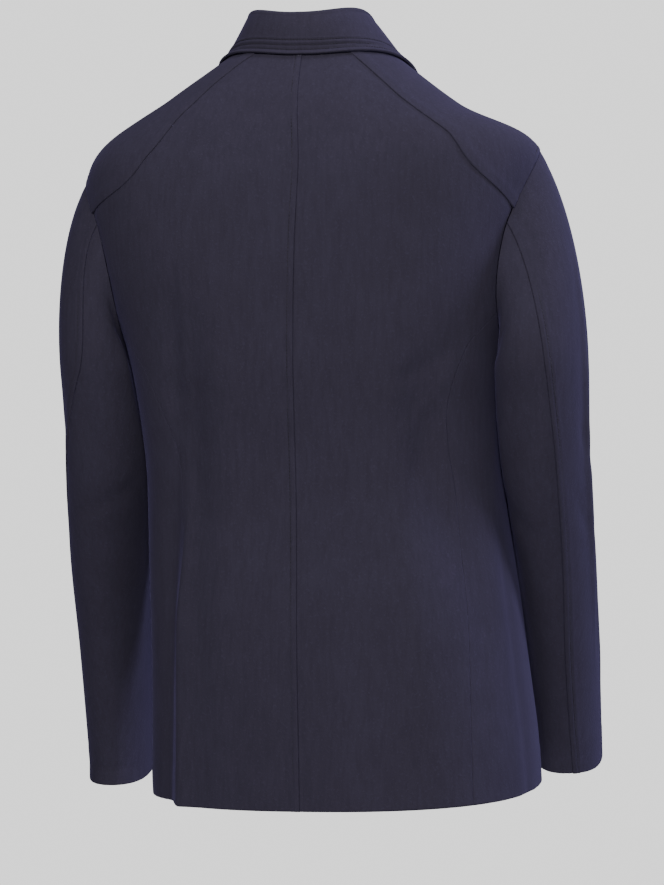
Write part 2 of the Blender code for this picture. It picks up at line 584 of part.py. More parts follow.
def make_buttons(finish):
    """Dished round buttons down the centre front, each on the left front."""
    profile = [(radius * BUTTON_RADIUS, height * BUTTON_THICK) for radius, height in BUTTON_OUTLINE]
    steps = BUTTON_STEPS
    for k, down in enumerate(np.linspace(BUTTON_FIRST, BUTTON_LAST, BUTTON_COUNT)):
        points, faces = [(0.0, 0.0, profile[0][1])], []
        for radius, height in profile[1:-1]:
            for n in range(steps):
                turn = 2 * math.pi * n / steps
                points.append((radius * math.cos(turn), radius * math.sin(turn), height))
        points.append((0.0, 0.0, profile[-1][1]))
        for n in range(steps):
            after = (n + 1) % steps
            faces.append((0, 1 + after, 1 + n))
            for ring in range(len(profile) - 3):
                low, high = 1 + ring * steps, 1 + (ring + 1) * steps
                faces.append((low + n, low + after, high + after, high + n))
            last = 1 + (len(profile) - 3) * steps
            faces.append((last + n, last + after, len(points) - 1))
        mesh = bpy.data.meshes.new(f"button_{k + 1}")
        mesh.from_pydata(points, [], faces)
        mesh.materials.append(finish)
        mesh.shade_smooth()
        mesh.set_sharp_from_angle(angle=SHARP_ANGLE)
        made = bpy.data.objects.new(f"button_{k + 1}", mesh)
        normal = body_normal(np.array(180.0), np.array(down))
        place = body_point(np.array(180.0), np.array(down)) + normal * (LAP_RISE + BUTTON_LIFT)
        made.location = place
        made.rotation_mode = "XYZ"
        made.rotation_euler = (math.atan2(-normal[1], normal[2]), 0.0, 0.0)
        bpy.context.scene.collection.objects.link(made)


def main():
    for obj in list(bpy.data.objects):
        bpy.data.objects.remove(obj)
    wool = material("navy_wool", WOOL_COLOUR, WOOL_ROUGHNESS)
    horn = material("dark_horn", HORN_COLOUR, HORN_ROUGHNESS)
    make_backs(wool)
    make_yokes(wool)
    make_sides(wool)
    make_fronts(wool)
    make_sleeves(wool)
    make_collar(wool)
    make_buttons(horn)


main()
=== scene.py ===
# Hip-length wool jacket, seen from behind as it hangs when worn.
# Metres, z up, front towards -y, the wearer's left towards +x.
import math

import bpy
import numpy as np
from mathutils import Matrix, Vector, kdtree


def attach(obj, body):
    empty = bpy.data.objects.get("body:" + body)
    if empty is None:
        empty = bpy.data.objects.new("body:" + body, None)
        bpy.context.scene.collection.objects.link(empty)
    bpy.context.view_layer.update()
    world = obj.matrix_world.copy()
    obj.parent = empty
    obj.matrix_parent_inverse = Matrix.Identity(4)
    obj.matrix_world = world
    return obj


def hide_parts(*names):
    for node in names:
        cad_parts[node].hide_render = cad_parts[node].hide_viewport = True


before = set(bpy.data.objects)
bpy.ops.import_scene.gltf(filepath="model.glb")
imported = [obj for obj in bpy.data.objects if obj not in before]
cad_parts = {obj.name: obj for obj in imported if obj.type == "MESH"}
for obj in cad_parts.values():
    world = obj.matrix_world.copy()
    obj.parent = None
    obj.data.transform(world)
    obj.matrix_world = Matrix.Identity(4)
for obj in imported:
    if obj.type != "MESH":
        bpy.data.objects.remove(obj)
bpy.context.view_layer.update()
print("packed model loaded")

sides = {"left": 1, "right": -1}
up = np.array([0.0, 0.0, 1.0])

# Cloth. The edges that are cut and turned get thicker, and the grids get closer beside a seam.
cloth = {
    "thick": 0.0024,
    "turned": 0.0042,      # where an edge is folded back on itself
    "turnDepth": 0.034,    # how far the fold reaches in
    "turnFade": 0.0015,    # how fast it ends there
    "liftFade": 0.004,     # how fast a lifted seam ends
    "innerRoll": 0.8,      # roll of the inner face beside that of the outer one
    "step": 0.0040,        # size of the grid on open cloth
    "beside": (0.0, 0.0005, 0.0011, 0.0020, 0.0032, 0.0047, 0.0060, 0.0075, 0.0098),
    "gap": 0.00005,        # half the room left at a seam
    "seamSteps": 0.0005,   # how finely a seam is followed when distances are taken from it
}

# How each kind of seam shapes the cloth beside it: radius of the rolled edge, how much the allowance
# underneath lifts the cloth and how far that reaches, and where, how deep and how wide a stitch row sinks in.
seamKinds = {
    "pressed": {"roll": 0.0006, "lift": 0.0002, "reach": 0.011},
    "stitched": {"roll": 0.0008, "lift": 0.0010, "reach": 0.0062,
                 "row": 0.0060, "sink": 0.0010, "sinkWidth": 0.0009},
    "under": {"roll": 0.0006, "lift": -0.0003, "reach": 0.003},
    "over": {"roll": 0.0008, "lift": 0.0009, "reach": 0.009},
    "turned": {"roll": 0.0017, "lift": 0.0003, "reach": 0.034},
    "neck": {"roll": 0.0004, "lift": 0.0, "reach": 0.004},
}

# The body from the neckline to the hem. down is the way over the cloth from the neckline.
body = {
    "columns": ("down", "halfWidth", "back", "front", "middle",
                "zBack", "zSide", "zFront", "shift", "square", "twist", "leftDrop"),
    "rows": np.array([
        (0.000, 0.070, 0.066, -0.086, -0.002, -0.009, -0.010, -0.078, 0.000, 2.0, -1.0, 0.000),
        (0.092, 0.149, 0.103, -0.110, 0.000, -0.066, -0.065, -0.122, 0.000, 2.1, -2.0, -0.020),
        (0.182, 0.220, 0.121, -0.121, -0.013, -0.128, -0.110, -0.170, -0.0025, 2.2, -2.5, 0.010),
        (0.276, 0.210, 0.127, -0.126, -0.008, -0.205, -0.200, -0.232, 0.000, 2.3, -2.5, 0.000),
        (0.392, 0.190, 0.122, -0.126, -0.003, -0.315, -0.315, -0.320, 0.000, 2.4, -1.5, 0.000),
        (0.507, 0.177, 0.109, -0.119, 0.000, -0.430, -0.430, -0.432, -0.005, 2.4, 1.0, 0.010),
        (0.657, 0.183, 0.129, -0.126, 0.000, -0.580, -0.580, -0.581, -0.018, 2.4, 4.3, 0.030),
        (0.830, 0.1945, 0.141, -0.137, 0.000, -0.755, -0.755, -0.755, -0.030, 2.4, 6.6, 0.045),
    ]),
    # main folds: angle at top and bottom, starts, full, fades, ends (down), half width, height;
    # each has come to its bottom angle at foldTurned
    "folds": (
        (88.0, 88.0, 0.130, 0.240, 0.26, 0.42, 42.0, 0.0190),
        (55.0, 49.0, 0.42, 0.56, 0.90, 1.00, 5.0, 0.0060),
        (46.0, 62.0, 0.28, 0.48, 0.86, 1.00, 9.0, -0.0085),
        (30.0, 36.0, 0.22, 0.40, 0.55, 0.80, 9.0, 0.0030),
        (-50.0, -72.0, 0.34, 0.46, 0.60, 0.80, 8.0, -0.0055),
        (-38.0, -46.0, 0.30, 0.44, 0.60, 0.82, 8.0, 0.0030),
        (104.0, 112.0, 0.42, 0.60, 0.90, 1.00, 8.0, 0.0040),
        (-104.0, -110.0, 0.42, 0.60, 0.90, 1.00, 8.0, 0.0040),
        (140.0, 146.0, 0.40, 0.60, 0.80, 0.95, 9.0, -0.0035),
        (-138.0, -146.0, 0.40, 0.60, 0.80, 0.95, 9.0, -0.0035),
        (-96.0, -98.0, 0.42, 0.54, 0.76, 0.88, 26.0, 0.0068),
        (84.0, 84.0, 0.48, 0.60, 0.80, 0.90, 20.0, 0.0048),
    ),
    # smaller creases: from angle, down to angle, down, how far they bow (m), half width (m), height (m)
    "creases": (
        (66, 0.390, 36, 0.345, 0.008, 0.0085, -0.0012),
        (62, 0.425, 30, 0.420, 0.007, 0.0100, -0.0010),
        (57, 0.480, 38, 0.520, -0.006, 0.0110, 0.0010),
        (50, 0.610, 42, 0.745, 0.004, 0.0120, 0.0012),
        (18, 0.560, 10, 0.760, 0.006, 0.0170, -0.0008),
        (-12, 0.500, -18, 0.790, -0.008, 0.0180, 0.0009),
        (-64, 0.372, -34, 0.420, -0.010, 0.0095, -0.0014),
        (-60, 0.400, -44, 0.480, -0.006, 0.0080, 0.0010),
        (-62, 0.440, -50, 0.540, 0.005, 0.0090, -0.0011),
        (-30, 0.250, -24, 0.350, 0.006, 0.0160, -0.0007),
        (34, 0.225, 26, 0.330, -0.006, 0.0140, -0.0008),
        (-76, 0.620, -70, 0.790, 0.004, 0.0120, 0.0010),
        (100, 0.420, 96, 0.560, 0.006, 0.0110, -0.0013),
        (84, 0.430, 82, 0.600, -0.006, 0.0120, 0.0012),
        (-98, 0.410, -94, 0.540, -0.006, 0.0110, -0.0012),
        (-86, 0.430, -84, 0.610, 0.005, 0.0120, 0.0010),
        (120, 0.372, 150, 0.350, -0.008, 0.0090, -0.0013),
        (118, 0.405, 144, 0.430, -0.006, 0.0100, -0.0010),
        (-120, 0.370, -148, 0.340, 0.008, 0.0090, -0.0012),
        (-118, 0.410, -142, 0.440, 0.007, 0.0100, -0.0011),
        (158, 0.560, 152, 0.740, 0.006, 0.0150, 0.0010),
        (-156, 0.520, -150, 0.700, -0.006, 0.0150, 0.0009),
        (40, 0.270, 53, 0.520, 0.000, 0.0060, 0.0014),
        (52, 0.480, 47, 0.960, 0.000, 0.0050, 0.0020),
        (45, 0.290, 60, 0.540, 0.003, 0.0080, -0.0024),
        (60, 0.500, 62, 0.960, 0.000, 0.0110, -0.0024),
        (-84, 0.480, -86, 0.960, 0.002, 0.0100, -0.0018),
    ),
    "foldTurned": 0.75,
    "metresPerDegree": 0.0033,
    "hem": 0.830,
    "slopeTurn": 0.4,      # steps for reading the surface's slope
    "slopeDrop": 0.002,
}

seamLines = {
    "yokeBack": {
        "left": ((0.000, 28.0), (0.030, 40.8), (0.066, 48.0), (0.122, 52.4), (0.188, 54.6), (0.230, 63.2)),
        "right": ((0.000, 28.0), (0.032, 38.4), (0.066, 45.6), (0.096, 49.6), (0.158, 53.6), (0.214, 60.0)),
    },
    "yokeFront": ((0.000, 128.0), (0.080, 119.0), (0.150, 114.0)),
    "sideDown": (0.377, 0.401, 0.435, 0.477, 0.520, 0.590, 0.730, 0.830),
    "sideBack": {
        "left": (72.0, 65.8, 61.3, 58.0, 56.0, 55.0, 54.5, 54.0),
        "right": (65.8, 62.6, 61.0, 62.8, 65.6, 66.0, 61.8, 59.5),
    },
    "sideFront": (114.5, 115.5, 116.5, 117.0, 117.5, 118.0, 118.5, 119.0),
}

# The armhole is an oval in angle and down, 0 at the shoulder tip and 90 at the back.
armholes = {
    "left": {"angle": 95.0, "down": 0.297, "halfBack": 23.0, "halfFront": 23.5, "halfDown": 0.092,
             "skew": 0.0, "yokeBack": 59.5, "sleeveBack": 68.0},
    "right": {"angle": 94.0, "down": 0.286, "halfBack": 22.0, "halfFront": 23.5, "halfDown": 0.103,
              "skew": 0.12, "yokeBack": 69.5, "sleeveBack": 77.5},
}
armSeams = {"sideBack": 128.6, "sideFront": 231.4, "sleeveFront": 246.0, "yokeFront": 312.9}
overlap = {"reach": 0.024, "rise": 0.0031, "ramp": 16.0}

# Rough lengths (m) of the seams and widths of the panels, which set how many rows a grid gets.
panels = {
    "backYoke": 0.24, "frontYoke": 0.22, "yokeSeam": 0.21, "sideSeam": 0.47, "holeRows": 34,
    "backWidth": 0.185, "backGap": 0.16, "frontWidth": 0.22, "frontGap": 0.20, "yokeWidth": 0.16,
    "sideWidth": 0.20, "topWidth": 0.19, "underWidth": 0.17, "headLength": 0.16, "armLength": 0.42,
}


def spline(knots, values, at):
    knots, values = np.asarray(knots, float), np.asarray(values, float)
    at = np.clip(np.asarray(at, float), knots[0], knots[-1])
    slopes = np.gradient(values, knots)
    i = np.clip(np.searchsorted(knots, at) - 1, 0, len(knots) - 2)
    step = knots[i + 1] - knots[i]
    s = (at - knots[i]) / step
    return ((1 + 2 * s) * (1 - s) ** 2 * values[i] + s * (1 - s) ** 2 * step * slopes[i]
            + s * s * (3 - 2 * s) * values[i + 1] + s * s * (s - 1) * step * slopes[i + 1])


def smoothStep(low, high, at):
    s = np.clip((at - low) / (high - low), 0, 1)
    return s * s * (3 - 2 * s)


def unit(vectors):
    return vectors / np.maximum(np.linalg.norm(vectors, axis=-1, keepdims=True), 1e-12)


def turned(degrees):
    return (degrees + 180.0) % 360.0 - 180.0


def creases(across, along, rows):
    push = np.zeros(np.broadcast(across, along).shape)
    for x0, y0, x1, y1, bow, half, height in rows:
        dx, dy = x1 - x0, y1 - y0
        length = math.hypot(dx, dy)
        t = ((across - x0) * dx + (along - y0) * dy) / length ** 2
        off = ((across - x0) * dy - (along - y0) * dx) / length - 4 * bow * t * (1 - t)
        ends = smoothStep(-0.05, 0.35, t) * (1 - smoothStep(0.6, 1.05, t))
        push += height * ends * np.exp(-(off / half) ** 2)
    return push


def bodySection(down):
    rows = body["rows"]
    return {name: spline(rows[:, 0], rows[:, k], down) for k, name in enumerate(body["columns"])}


def bodyFolds(angle, down):
    push = np.zeros(np.broadcast(angle, down).shape)
    for top, bottom, starts, full, fades, ends, half, height in body["folds"]:
        centre = top + (bottom - top) * smoothStep(starts, body["foldTurned"], down)
        along = smoothStep(starts, full, down) * (1 - smoothStep(fades, ends, down))
        push += height * along * np.exp(-(turned(angle - centre) / half) ** 2)
    scale = body["metresPerDegree"]
    rows = [(a * scale, b, c * scale, *rest) for a, b, c, *rest in body["creases"]]
    return push + creases(turned(angle) * scale, down, rows)


def bodyRadius(section, angle):
    sine, cosine = np.sin(np.radians(angle)), np.cos(np.radians(angle))
    depth = np.where(cosine > 0, section["back"] - section["middle"], section["middle"] - section["front"])
    n = section["square"]
    return ((np.abs(sine) / section["halfWidth"]) ** n + (np.abs(cosine) / depth) ** n) ** (-1 / n)


def bodyPoint(angle, down):
    angle, down = np.broadcast_arrays(np.asarray(angle, float), np.asarray(down, float))
    section = bodySection(down)
    cosine = np.cos(np.radians(angle))
    radius = bodyRadius(section, angle) + bodyFolds(angle, down)
    around = np.radians(angle + section["twist"])
    z = (section["zSide"] + (section["zBack"] - section["zFront"]) / 2 * cosine
         + ((section["zBack"] + section["zFront"]) / 2 - section["zSide"]) * cosine ** 2)
    x = section["shift"] + radius * np.sin(around)
    return np.stack([x, section["middle"] + radius * np.cos(around), z - section["leftDrop"] * x], -1)


def bodyNormal(angle, down):
    turn, drop, hem = body["slopeTurn"], body["slopeDrop"], body["hem"]
    across = bodyPoint(angle + turn, down) - bodyPoint(angle - turn, down)
    along = bodyPoint(angle, np.minimum(down + drop, hem)) - bodyPoint(angle, np.maximum(down - drop, 0))
    return unit(np.cross(across, along))


def armhole(side, degrees):
    turn, hole = np.radians(degrees), armholes[side]
    half = np.where(np.sin(turn) > 0, hole["halfBack"], hole["halfFront"]) * (1 - hole["skew"] * np.cos(turn))
    return np.stack([hole["angle"] - half * np.sin(turn), hole["down"] - hole["halfDown"] * np.cos(turn)], -1)


# Seams as (angle, down) pairs at shares of their length.
def yokeSeam(side, back, shares):
    rows = seamLines["yokeBack"][side] if back else seamLines["yokeFront"]
    end = armhole(side, armholes[side]["yokeBack"] if back else armSeams["yokeFront"])
    seam = np.vstack([rows, end[::-1]])
    down = shares * end[1]
    return np.stack([spline(seam[:, 0], seam[:, 1], down), down], -1)


def sideSeam(side, back, shares):
    start = armhole(side, armSeams["sideBack" if back else "sideFront"])
    angles = seamLines["sideBack"][side] if back else seamLines["sideFront"]
    seam = np.vstack([start[::-1], np.column_stack([seamLines["sideDown"], angles])])
    down = start[1] + (body["hem"] - start[1]) * shares
    return np.stack([spline(seam[:, 0], seam[:, 1], down), down], -1)


def spaced(length, step=None, start=True, end=True):
    # shares of a length, with close rows beside a seam at its start or end
    step = step or cloth["step"]
    beside = np.array(cloth["beside"])
    first = beside if start else beside[:1]
    last = beside if end else beside[:1]
    count = max(2, round((length - first[-1] - last[-1]) / step) + 1)
    middle = np.linspace(first[-1], length - last[-1], count)
    return np.concatenate([first[:-1], middle, (length - last[:-1])[::-1]]) / length


def coons(left, right, top, bottom, a, b):
    a, b = a[None, :, None], b[:, None, None]
    ruled = (1 - a) * left[:, None] + a * right[:, None] + (1 - b) * top[None] + b * bottom[None]
    return ruled - ((1 - a) * (1 - b) * top[0] + a * (1 - b) * top[-1]
                    + (1 - a) * b * bottom[0] + a * b * bottom[-1])


def distanceTo(points, line):
    # how far each point lies from a seam line
    lengths = np.concatenate([[0], np.cumsum(np.linalg.norm(np.diff(line, axis=0), axis=1))])
    at = np.linspace(0, lengths[-1], int(lengths[-1] / cloth["seamSteps"]) + 2)
    dense = np.stack([np.interp(at, lengths, line[:, k]) for k in range(3)], -1)
    tree = kdtree.KDTree(len(dense))
    for k, place in enumerate(dense):
        tree.insert(place, k)
    tree.balance()
    flat = points.reshape(-1, 3)
    found = np.array([tree.find(place)[2] for place in flat])
    return found.reshape(points.shape[:-1])


def relief(distances, kinds):
    # height of the outer face and depth of the inner face beside the seams
    height = np.zeros(distances[0].shape)
    drop = np.zeros(distances[0].shape)
    depth = np.full(distances[0].shape, cloth["thick"])
    innerDrop = np.zeros(distances[0].shape)
    for distance, kind in zip(distances, kinds):
        seam = seamKinds[kind]
        roll = seam["roll"]
        near = np.clip(roll - distance, 0, roll)
        drop = np.maximum(drop, roll - np.sqrt(roll ** 2 - near ** 2))
        innerDrop = np.maximum(innerDrop, cloth["innerRoll"] * (roll - np.sqrt(roll ** 2 - near ** 2)))
        height += seam["lift"] * (1 - smoothStep(seam["reach"], seam["reach"] + cloth["liftFade"], distance))
        if "row" in seam:
            height -= seam["sink"] * np.exp(-((distance - seam["row"]) / seam["sinkWidth"]) ** 2)
        if kind == "turned":
            folded = 1 - smoothStep(cloth["turnDepth"] - cloth["turnFade"], cloth["turnDepth"], distance)
            depth = np.maximum(depth, cloth["thick"] + (cloth["turned"] - cloth["thick"]) * folded)
    return height - drop, depth - innerDrop


def placed(name, data):
    made = bpy.data.objects.new(name, data)
    bpy.context.scene.collection.objects.link(made)
    return made


def shell(name, outer, inner):
    # one closed piece of cloth from its outer and inner grids
    rows, columns = outer.shape[:2]
    count = rows * columns
    number = np.arange(count).reshape(rows, columns)
    quads = np.stack([number[:-1, :-1], number[:-1, 1:], number[1:, 1:], number[1:, :-1]], -1)
    quads = quads.reshape(-1, 4)
    edge = np.concatenate([number[0], number[1:, -1], number[-1, -2::-1], number[-2:0:-1, 0]])
    after = np.roll(edge, -1)
    strips = np.stack([after, edge, edge + count, after + count], -1)
    faces = np.concatenate([quads, quads[:, ::-1] + count, strips])
    across, along = np.diff(outer, axis=1)[:-1], np.diff(outer, axis=0)[:, :-1]
    if (np.cross(across, along) * (outer - inner)[:-1, :-1]).sum() < 0:
        faces = faces[:, ::-1]
    mesh = bpy.data.meshes.new(name)
    points = np.concatenate([outer.reshape(-1, 3), inner.reshape(-1, 3)])
    mesh.from_pydata(points.tolist(), [], faces.tolist())
    mesh.materials.append(meltonNavy)
    mesh.shade_smooth()
    made = placed(name, mesh)
    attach(made, "root")
    return made


def srgb(code):
    # a hex colour as the linear values that the shader wants
    parts = [int(code[k:k + 2], 16) / 255 for k in (1, 3, 5)]
    return tuple(p / 12.92 if p <= 0.04045 else ((p + 0.055) / 1.055) ** 2.4 for p in parts) + (1.0,)


def addNode(tree, kind, settings=None, links=None):
    # one node with its settings (sockets by name or number) and what is plugged into it
    node = tree.nodes.new(kind)
    for key, value in (settings or {}).items():
        if isinstance(key, int) or key in node.inputs:
            node.inputs[key].default_value = value
        else:
            setattr(node, key, value)
    for key, source in (links or {}).items():
        tree.links.new(source, node.inputs[key])
    return node


def newMaterial(name):
    made = bpy.data.materials.new(name)
    made.use_nodes = True
    tree = made.node_tree
    return made, tree, tree.nodes["Principled BSDF"]


wool = {
    "shade": "#363342",
    "light": "#393646",
    "streak": "#312e3c",
    "fleck": "#4b485e",
    "roughness": 0.95,
    "sheen": 0.13,
    "sheenRoughness": 0.40,
    "sheenTint": "#9088d0",
}


def meltonWool():
    # felted and raised, so the weave is closed and the light catches a short velvety nap at its edges
    made, tree, shader = newMaterial("meltonWoolNavy")
    place = addNode(tree, "ShaderNodeTexCoord").outputs["Object"]
    # broad clouds about 45 mm across, where the nap lies a little differently
    cloud = addNode(tree, "ShaderNodeTexNoise", {"Scale": 22.0, "Detail": 3.0, "Roughness": 0.55},
                    {"Vector": place})
    # felted clumps of fibre, about 2.5 mm
    clump = addNode(tree, "ShaderNodeTexNoise", {"Scale": 400.0, "Detail": 4.0, "Roughness": 0.6},
                    {"Vector": place})
    # streaks about 4 mm wide and 30 mm long, where the brushed nap lies down the cloth
    brushed = addNode(tree, "ShaderNodeMapping", {"Scale": (1.0, 1.0, 0.14)}, {"Vector": place})
    streak = addNode(tree, "ShaderNodeTexNoise", {"Scale": 240.0, "Detail": 4.0, "Roughness": 0.6},
                     {"Vector": brushed.outputs[0]})
    # fibres lying down the cloth, 0.7 mm wide and 3 mm long: far coarser than real ones, so that they show
    stretched = addNode(tree, "ShaderNodeMapping", {"Scale": (1.0, 1.0, 0.25)}, {"Vector": place})
    fibre = addNode(tree, "ShaderNodeTexNoise", {"Scale": 1400.0, "Detail": 2.0},
                    {"Vector": stretched.outputs[0]})
    blend = addNode(tree, "ShaderNodeMapRange", {"From Min": 0.3, "From Max": 0.7},
                    {"Value": cloud.outputs[0]})
    base = addNode(tree, "ShaderNodeMix",
                   {"data_type": "RGBA", 6: srgb(wool["shade"]), 7: srgb(wool["light"])},
                   {0: blend.outputs[0]})
    fleckAmount = addNode(tree, "ShaderNodeMapRange", {"From Min": 0.55, "From Max": 0.85, "To Max": 0.45},
                          {"Value": clump.outputs[0]})
    streakAmount = addNode(tree, "ShaderNodeMapRange", {"From Min": 0.40, "From Max": 0.70, "To Max": 0.60},
                           {"Value": streak.outputs[0]})
    brushedBase = addNode(tree, "ShaderNodeMix", {"data_type": "RGBA", 7: srgb(wool["streak"])},
                          {0: streakAmount.outputs[0], 6: base.outputs[2]})
    colour = addNode(tree, "ShaderNodeMix", {"data_type": "RGBA", 7: srgb(wool["fleck"])},
                     {0: fleckAmount.outputs[0], 6: brushedBase.outputs[2]})
    nap = addNode(tree, "ShaderNodeBump", {"Strength": 0.6, "Distance": 0.0006}, {"Height": clump.outputs[0]})
    fine = addNode(tree, "ShaderNodeBump", {"Strength": 0.25, "Distance": 0.0003},
                   {"Height": fibre.outputs[0], "Normal": nap.outputs[0]})
    tree.links.new(colour.outputs[2], shader.inputs["Base Color"])
    tree.links.new(fine.outputs[0], shader.inputs["Normal"])
    shader.inputs["Roughness"].default_value = wool["roughness"]
    shader.inputs["IOR"].default_value = 1.45
    shader.inputs["Specular IOR Level"].default_value = 0.25
    shader.inputs["Sheen Weight"].default_value = wool["sheen"]
    shader.inputs["Sheen Roughness"].default_value = wool["sheenRoughness"]
    shader.inputs["Sheen Tint"].default_value = srgb(wool["sheenTint"])
    return made


def spunThread():
    # polyester sewing thread, twisted, a touch glossier than the wool
    made, tree, shader = newMaterial("spunThreadNavy")
    place = addNode(tree, "ShaderNodeTexCoord").outputs["Object"]
    twist = addNode(tree, "ShaderNodeTexNoise", {"Scale": 1600.0, "Detail": 2.0}, {"Vector": place})
    colour = addNode(tree, "ShaderNodeMix", {"data_type": "RGBA", 6: srgb("#14121c"), 7: srgb("#201e2c")},
                     {0: twist.outputs[0]})
    bump = addNode(tree, "ShaderNodeBump", {"Strength": 0.4, "Distance": 0.0001},
                   {"Height": twist.outputs[0]})
    tree.links.new(colour.outputs[2], shader.inputs["Base Color"])
    tree.links.new(bump.outputs[0], shader.inputs["Normal"])
    shader.inputs["Roughness"].default_value = 0.6
    return made


def polishedHorn():
    # dark horn turned and polished, with faint streaks and a soft gloss
    made, tree, shader = newMaterial("polishedHornDark")
    place = addNode(tree, "ShaderNodeTexCoord").outputs["Object"]
    flow = addNode(tree, "ShaderNodeMapping", {"Scale": (1.0, 1.0, 0.3), "Rotation": (0.3, 0.5, 0.2)},
                   {"Vector": place})
    streak = addNode(tree, "ShaderNodeTexNoise", {"Scale": 260.0, "Detail": 5.0, "Distortion": 1.2},
                     {"Vector": flow.outputs[0]})
    colour = addNode(tree, "ShaderNodeMix", {"data_type": "RGBA", 6: srgb("#14121a"), 7: srgb("#2e2935")},
                     {0: streak.outputs[0]})
    dull = addNode(tree, "ShaderNodeMapRange", {"To Min": 0.22, "To Max": 0.42}, {"Value": streak.outputs[0]})
    tree.links.new(colour.outputs[2], shader.inputs["Base Color"])
    tree.links.new(dull.outputs[0], shader.inputs["Roughness"])
    shader.inputs["IOR"].default_value = 1.54
    return made


meltonNavy = meltonWool()
threadNavy = spunThread()
hornDark = polishedHorn()
print("materials made")


def sewn(name, made):
    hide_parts(name)
    return made


def bodyPiece(name, side, pairs, kinds, rise=None):
    # kinds are the seams on the left, right, top and bottom of the grid; an edge that changes from one
    # kind to another has a list of (first row, last row, kind)
    angle, down = sides[side] * pairs[..., 0], pairs[..., 1]
    normal = bodyNormal(angle, down)
    base = bodyPoint(angle, down)
    if rise is not None:
        base = base + normal * rise[..., None]
    lines, names = [], []
    for line, kind in zip((base[:, 0], base[:, -1], base[0], base[-1]), kinds):
        for start, stop, one in [(0, len(line), kind)] if isinstance(kind, str) else kind:
            lines.append(line[start:stop])
            names.append(one)
    height, depth = relief([distanceTo(base, line) for line in lines], names)
    outer = base + normal * height[..., None]
    inner = base - normal * depth[..., None]
    return sewn(f"{name}_{side}", shell(f"wool_{name}_{side}", outer, inner))


def squeezed(shares, width):
    # leaves the room at a seam
    gap = cloth["gap"] / width
    return gap + shares * (1 - 2 * gap)


def outerEdge(side, back):
    # rows of a back or a front: down the yoke seam, round the armhole, down the side seam
    hole = armholes[side]
    yokeRows = spaced(panels["backYoke" if back else "frontYoke"], end=False)
    first = hole["yokeBack"] if back else armSeams["yokeFront"]
    last = armSeams["sideBack"] if back else armSeams["sideFront"]
    holeRows = np.linspace(first, last, panels["holeRows"])
    sideRows = spaced(panels["sideSeam"], start=False)
    parts = [yokeSeam(side, back, yokeRows), armhole(side, holeRows)[1:], sideSeam(side, back, sideRows)[1:]]
    a, b = len(parts[0]), len(parts[0]) + len(parts[1])
    edge = np.concatenate(parts)
    return edge, [(0, a, "under"), (a - 1, b, "under"), (b - 1, len(edge), "pressed")]


def makeBacks():
    for side in sides:
        edge, outer = outerEdge(side, True)
        middle = np.column_stack([np.zeros(len(edge)), edge[:, 1]])
        share = squeezed(spaced(panels["backWidth"]), panels["backGap"])[None, :, None]
        pairs = middle[:, None] + share * (edge - middle)[:, None]
        centre = "stitched" if side == "left" else "under"
        bodyPiece("back", side, pairs, (centre, outer, "neck", "turned"))


def makeYokes():
    for side in sides:
        width = panels["yokeWidth"]
        rows, columns = spaced(panels["yokeSeam"]), squeezed(spaced(width), width)
        back, front = yokeSeam(side, True, rows), yokeSeam(side, False, rows)
        first, last = armholes[side]["yokeBack"], armSeams["yokeFront"] - 360
        edge = armhole(side, first + columns * (last - first))
        neck = back[0] + columns[:, None] * (front[0] - back[0])
        gap = cloth["gap"] / width * (front - back)
        pairs = coons(back + gap, front - gap, neck, edge, columns, rows)
        bodyPiece("yoke", side, pairs, ("over", "pressed", "neck", "stitched"))


def makeSides():
    for side in sides:
        rows, columns = spaced(panels["sideSeam"]), spaced(panels["sideWidth"])
        back, front = sideSeam(side, True, rows), sideSeam(side, False, rows)
        first, last = armSeams["sideBack"], armSeams["sideFront"]
        edge = armhole(side, first + columns * (last - first))
        hem = back[-1] + columns[:, None] * (front[-1] - back[-1])
        gap = cloth["gap"] / panels["sideWidth"] * (front - back)
        pairs = coons(back + gap, front - gap, edge, hem, columns, rows)
        bodyPiece("side", side, pairs, ("pressed", "pressed", "under", "turned"))


def lapDegrees(down):
    section = bodySection(down)
    return np.degrees(overlap["reach"] / (section["middle"] - section["front"]))


def lapRise(angle, down):
    start = 180 - lapDegrees(down)
    return overlap["rise"] * smoothStep(start - overlap["ramp"], start, angle)


def makeFronts():
    for side in sides:
        edge, outer = outerEdge(side, False)
        down = edge[:, 1]
        middle = np.column_stack([180 + lapDegrees(down), down])
        share = squeezed(spaced(panels["frontWidth"]), panels["frontGap"])[None, :, None]
        pairs = edge[:, None] + share * (middle - edge)[:, None]
        rise = lapRise(pairs[..., 0], pairs[..., 1]) if side == "left" else None
        bodyPiece("front", side, pairs, (outer, "turned", "neck", "turned"), rise)


makeBacks()
print("backs cut and sewn")
makeYokes()
makeSides()
makeFronts()
print("yokes, sides and fronts cut and sewn")

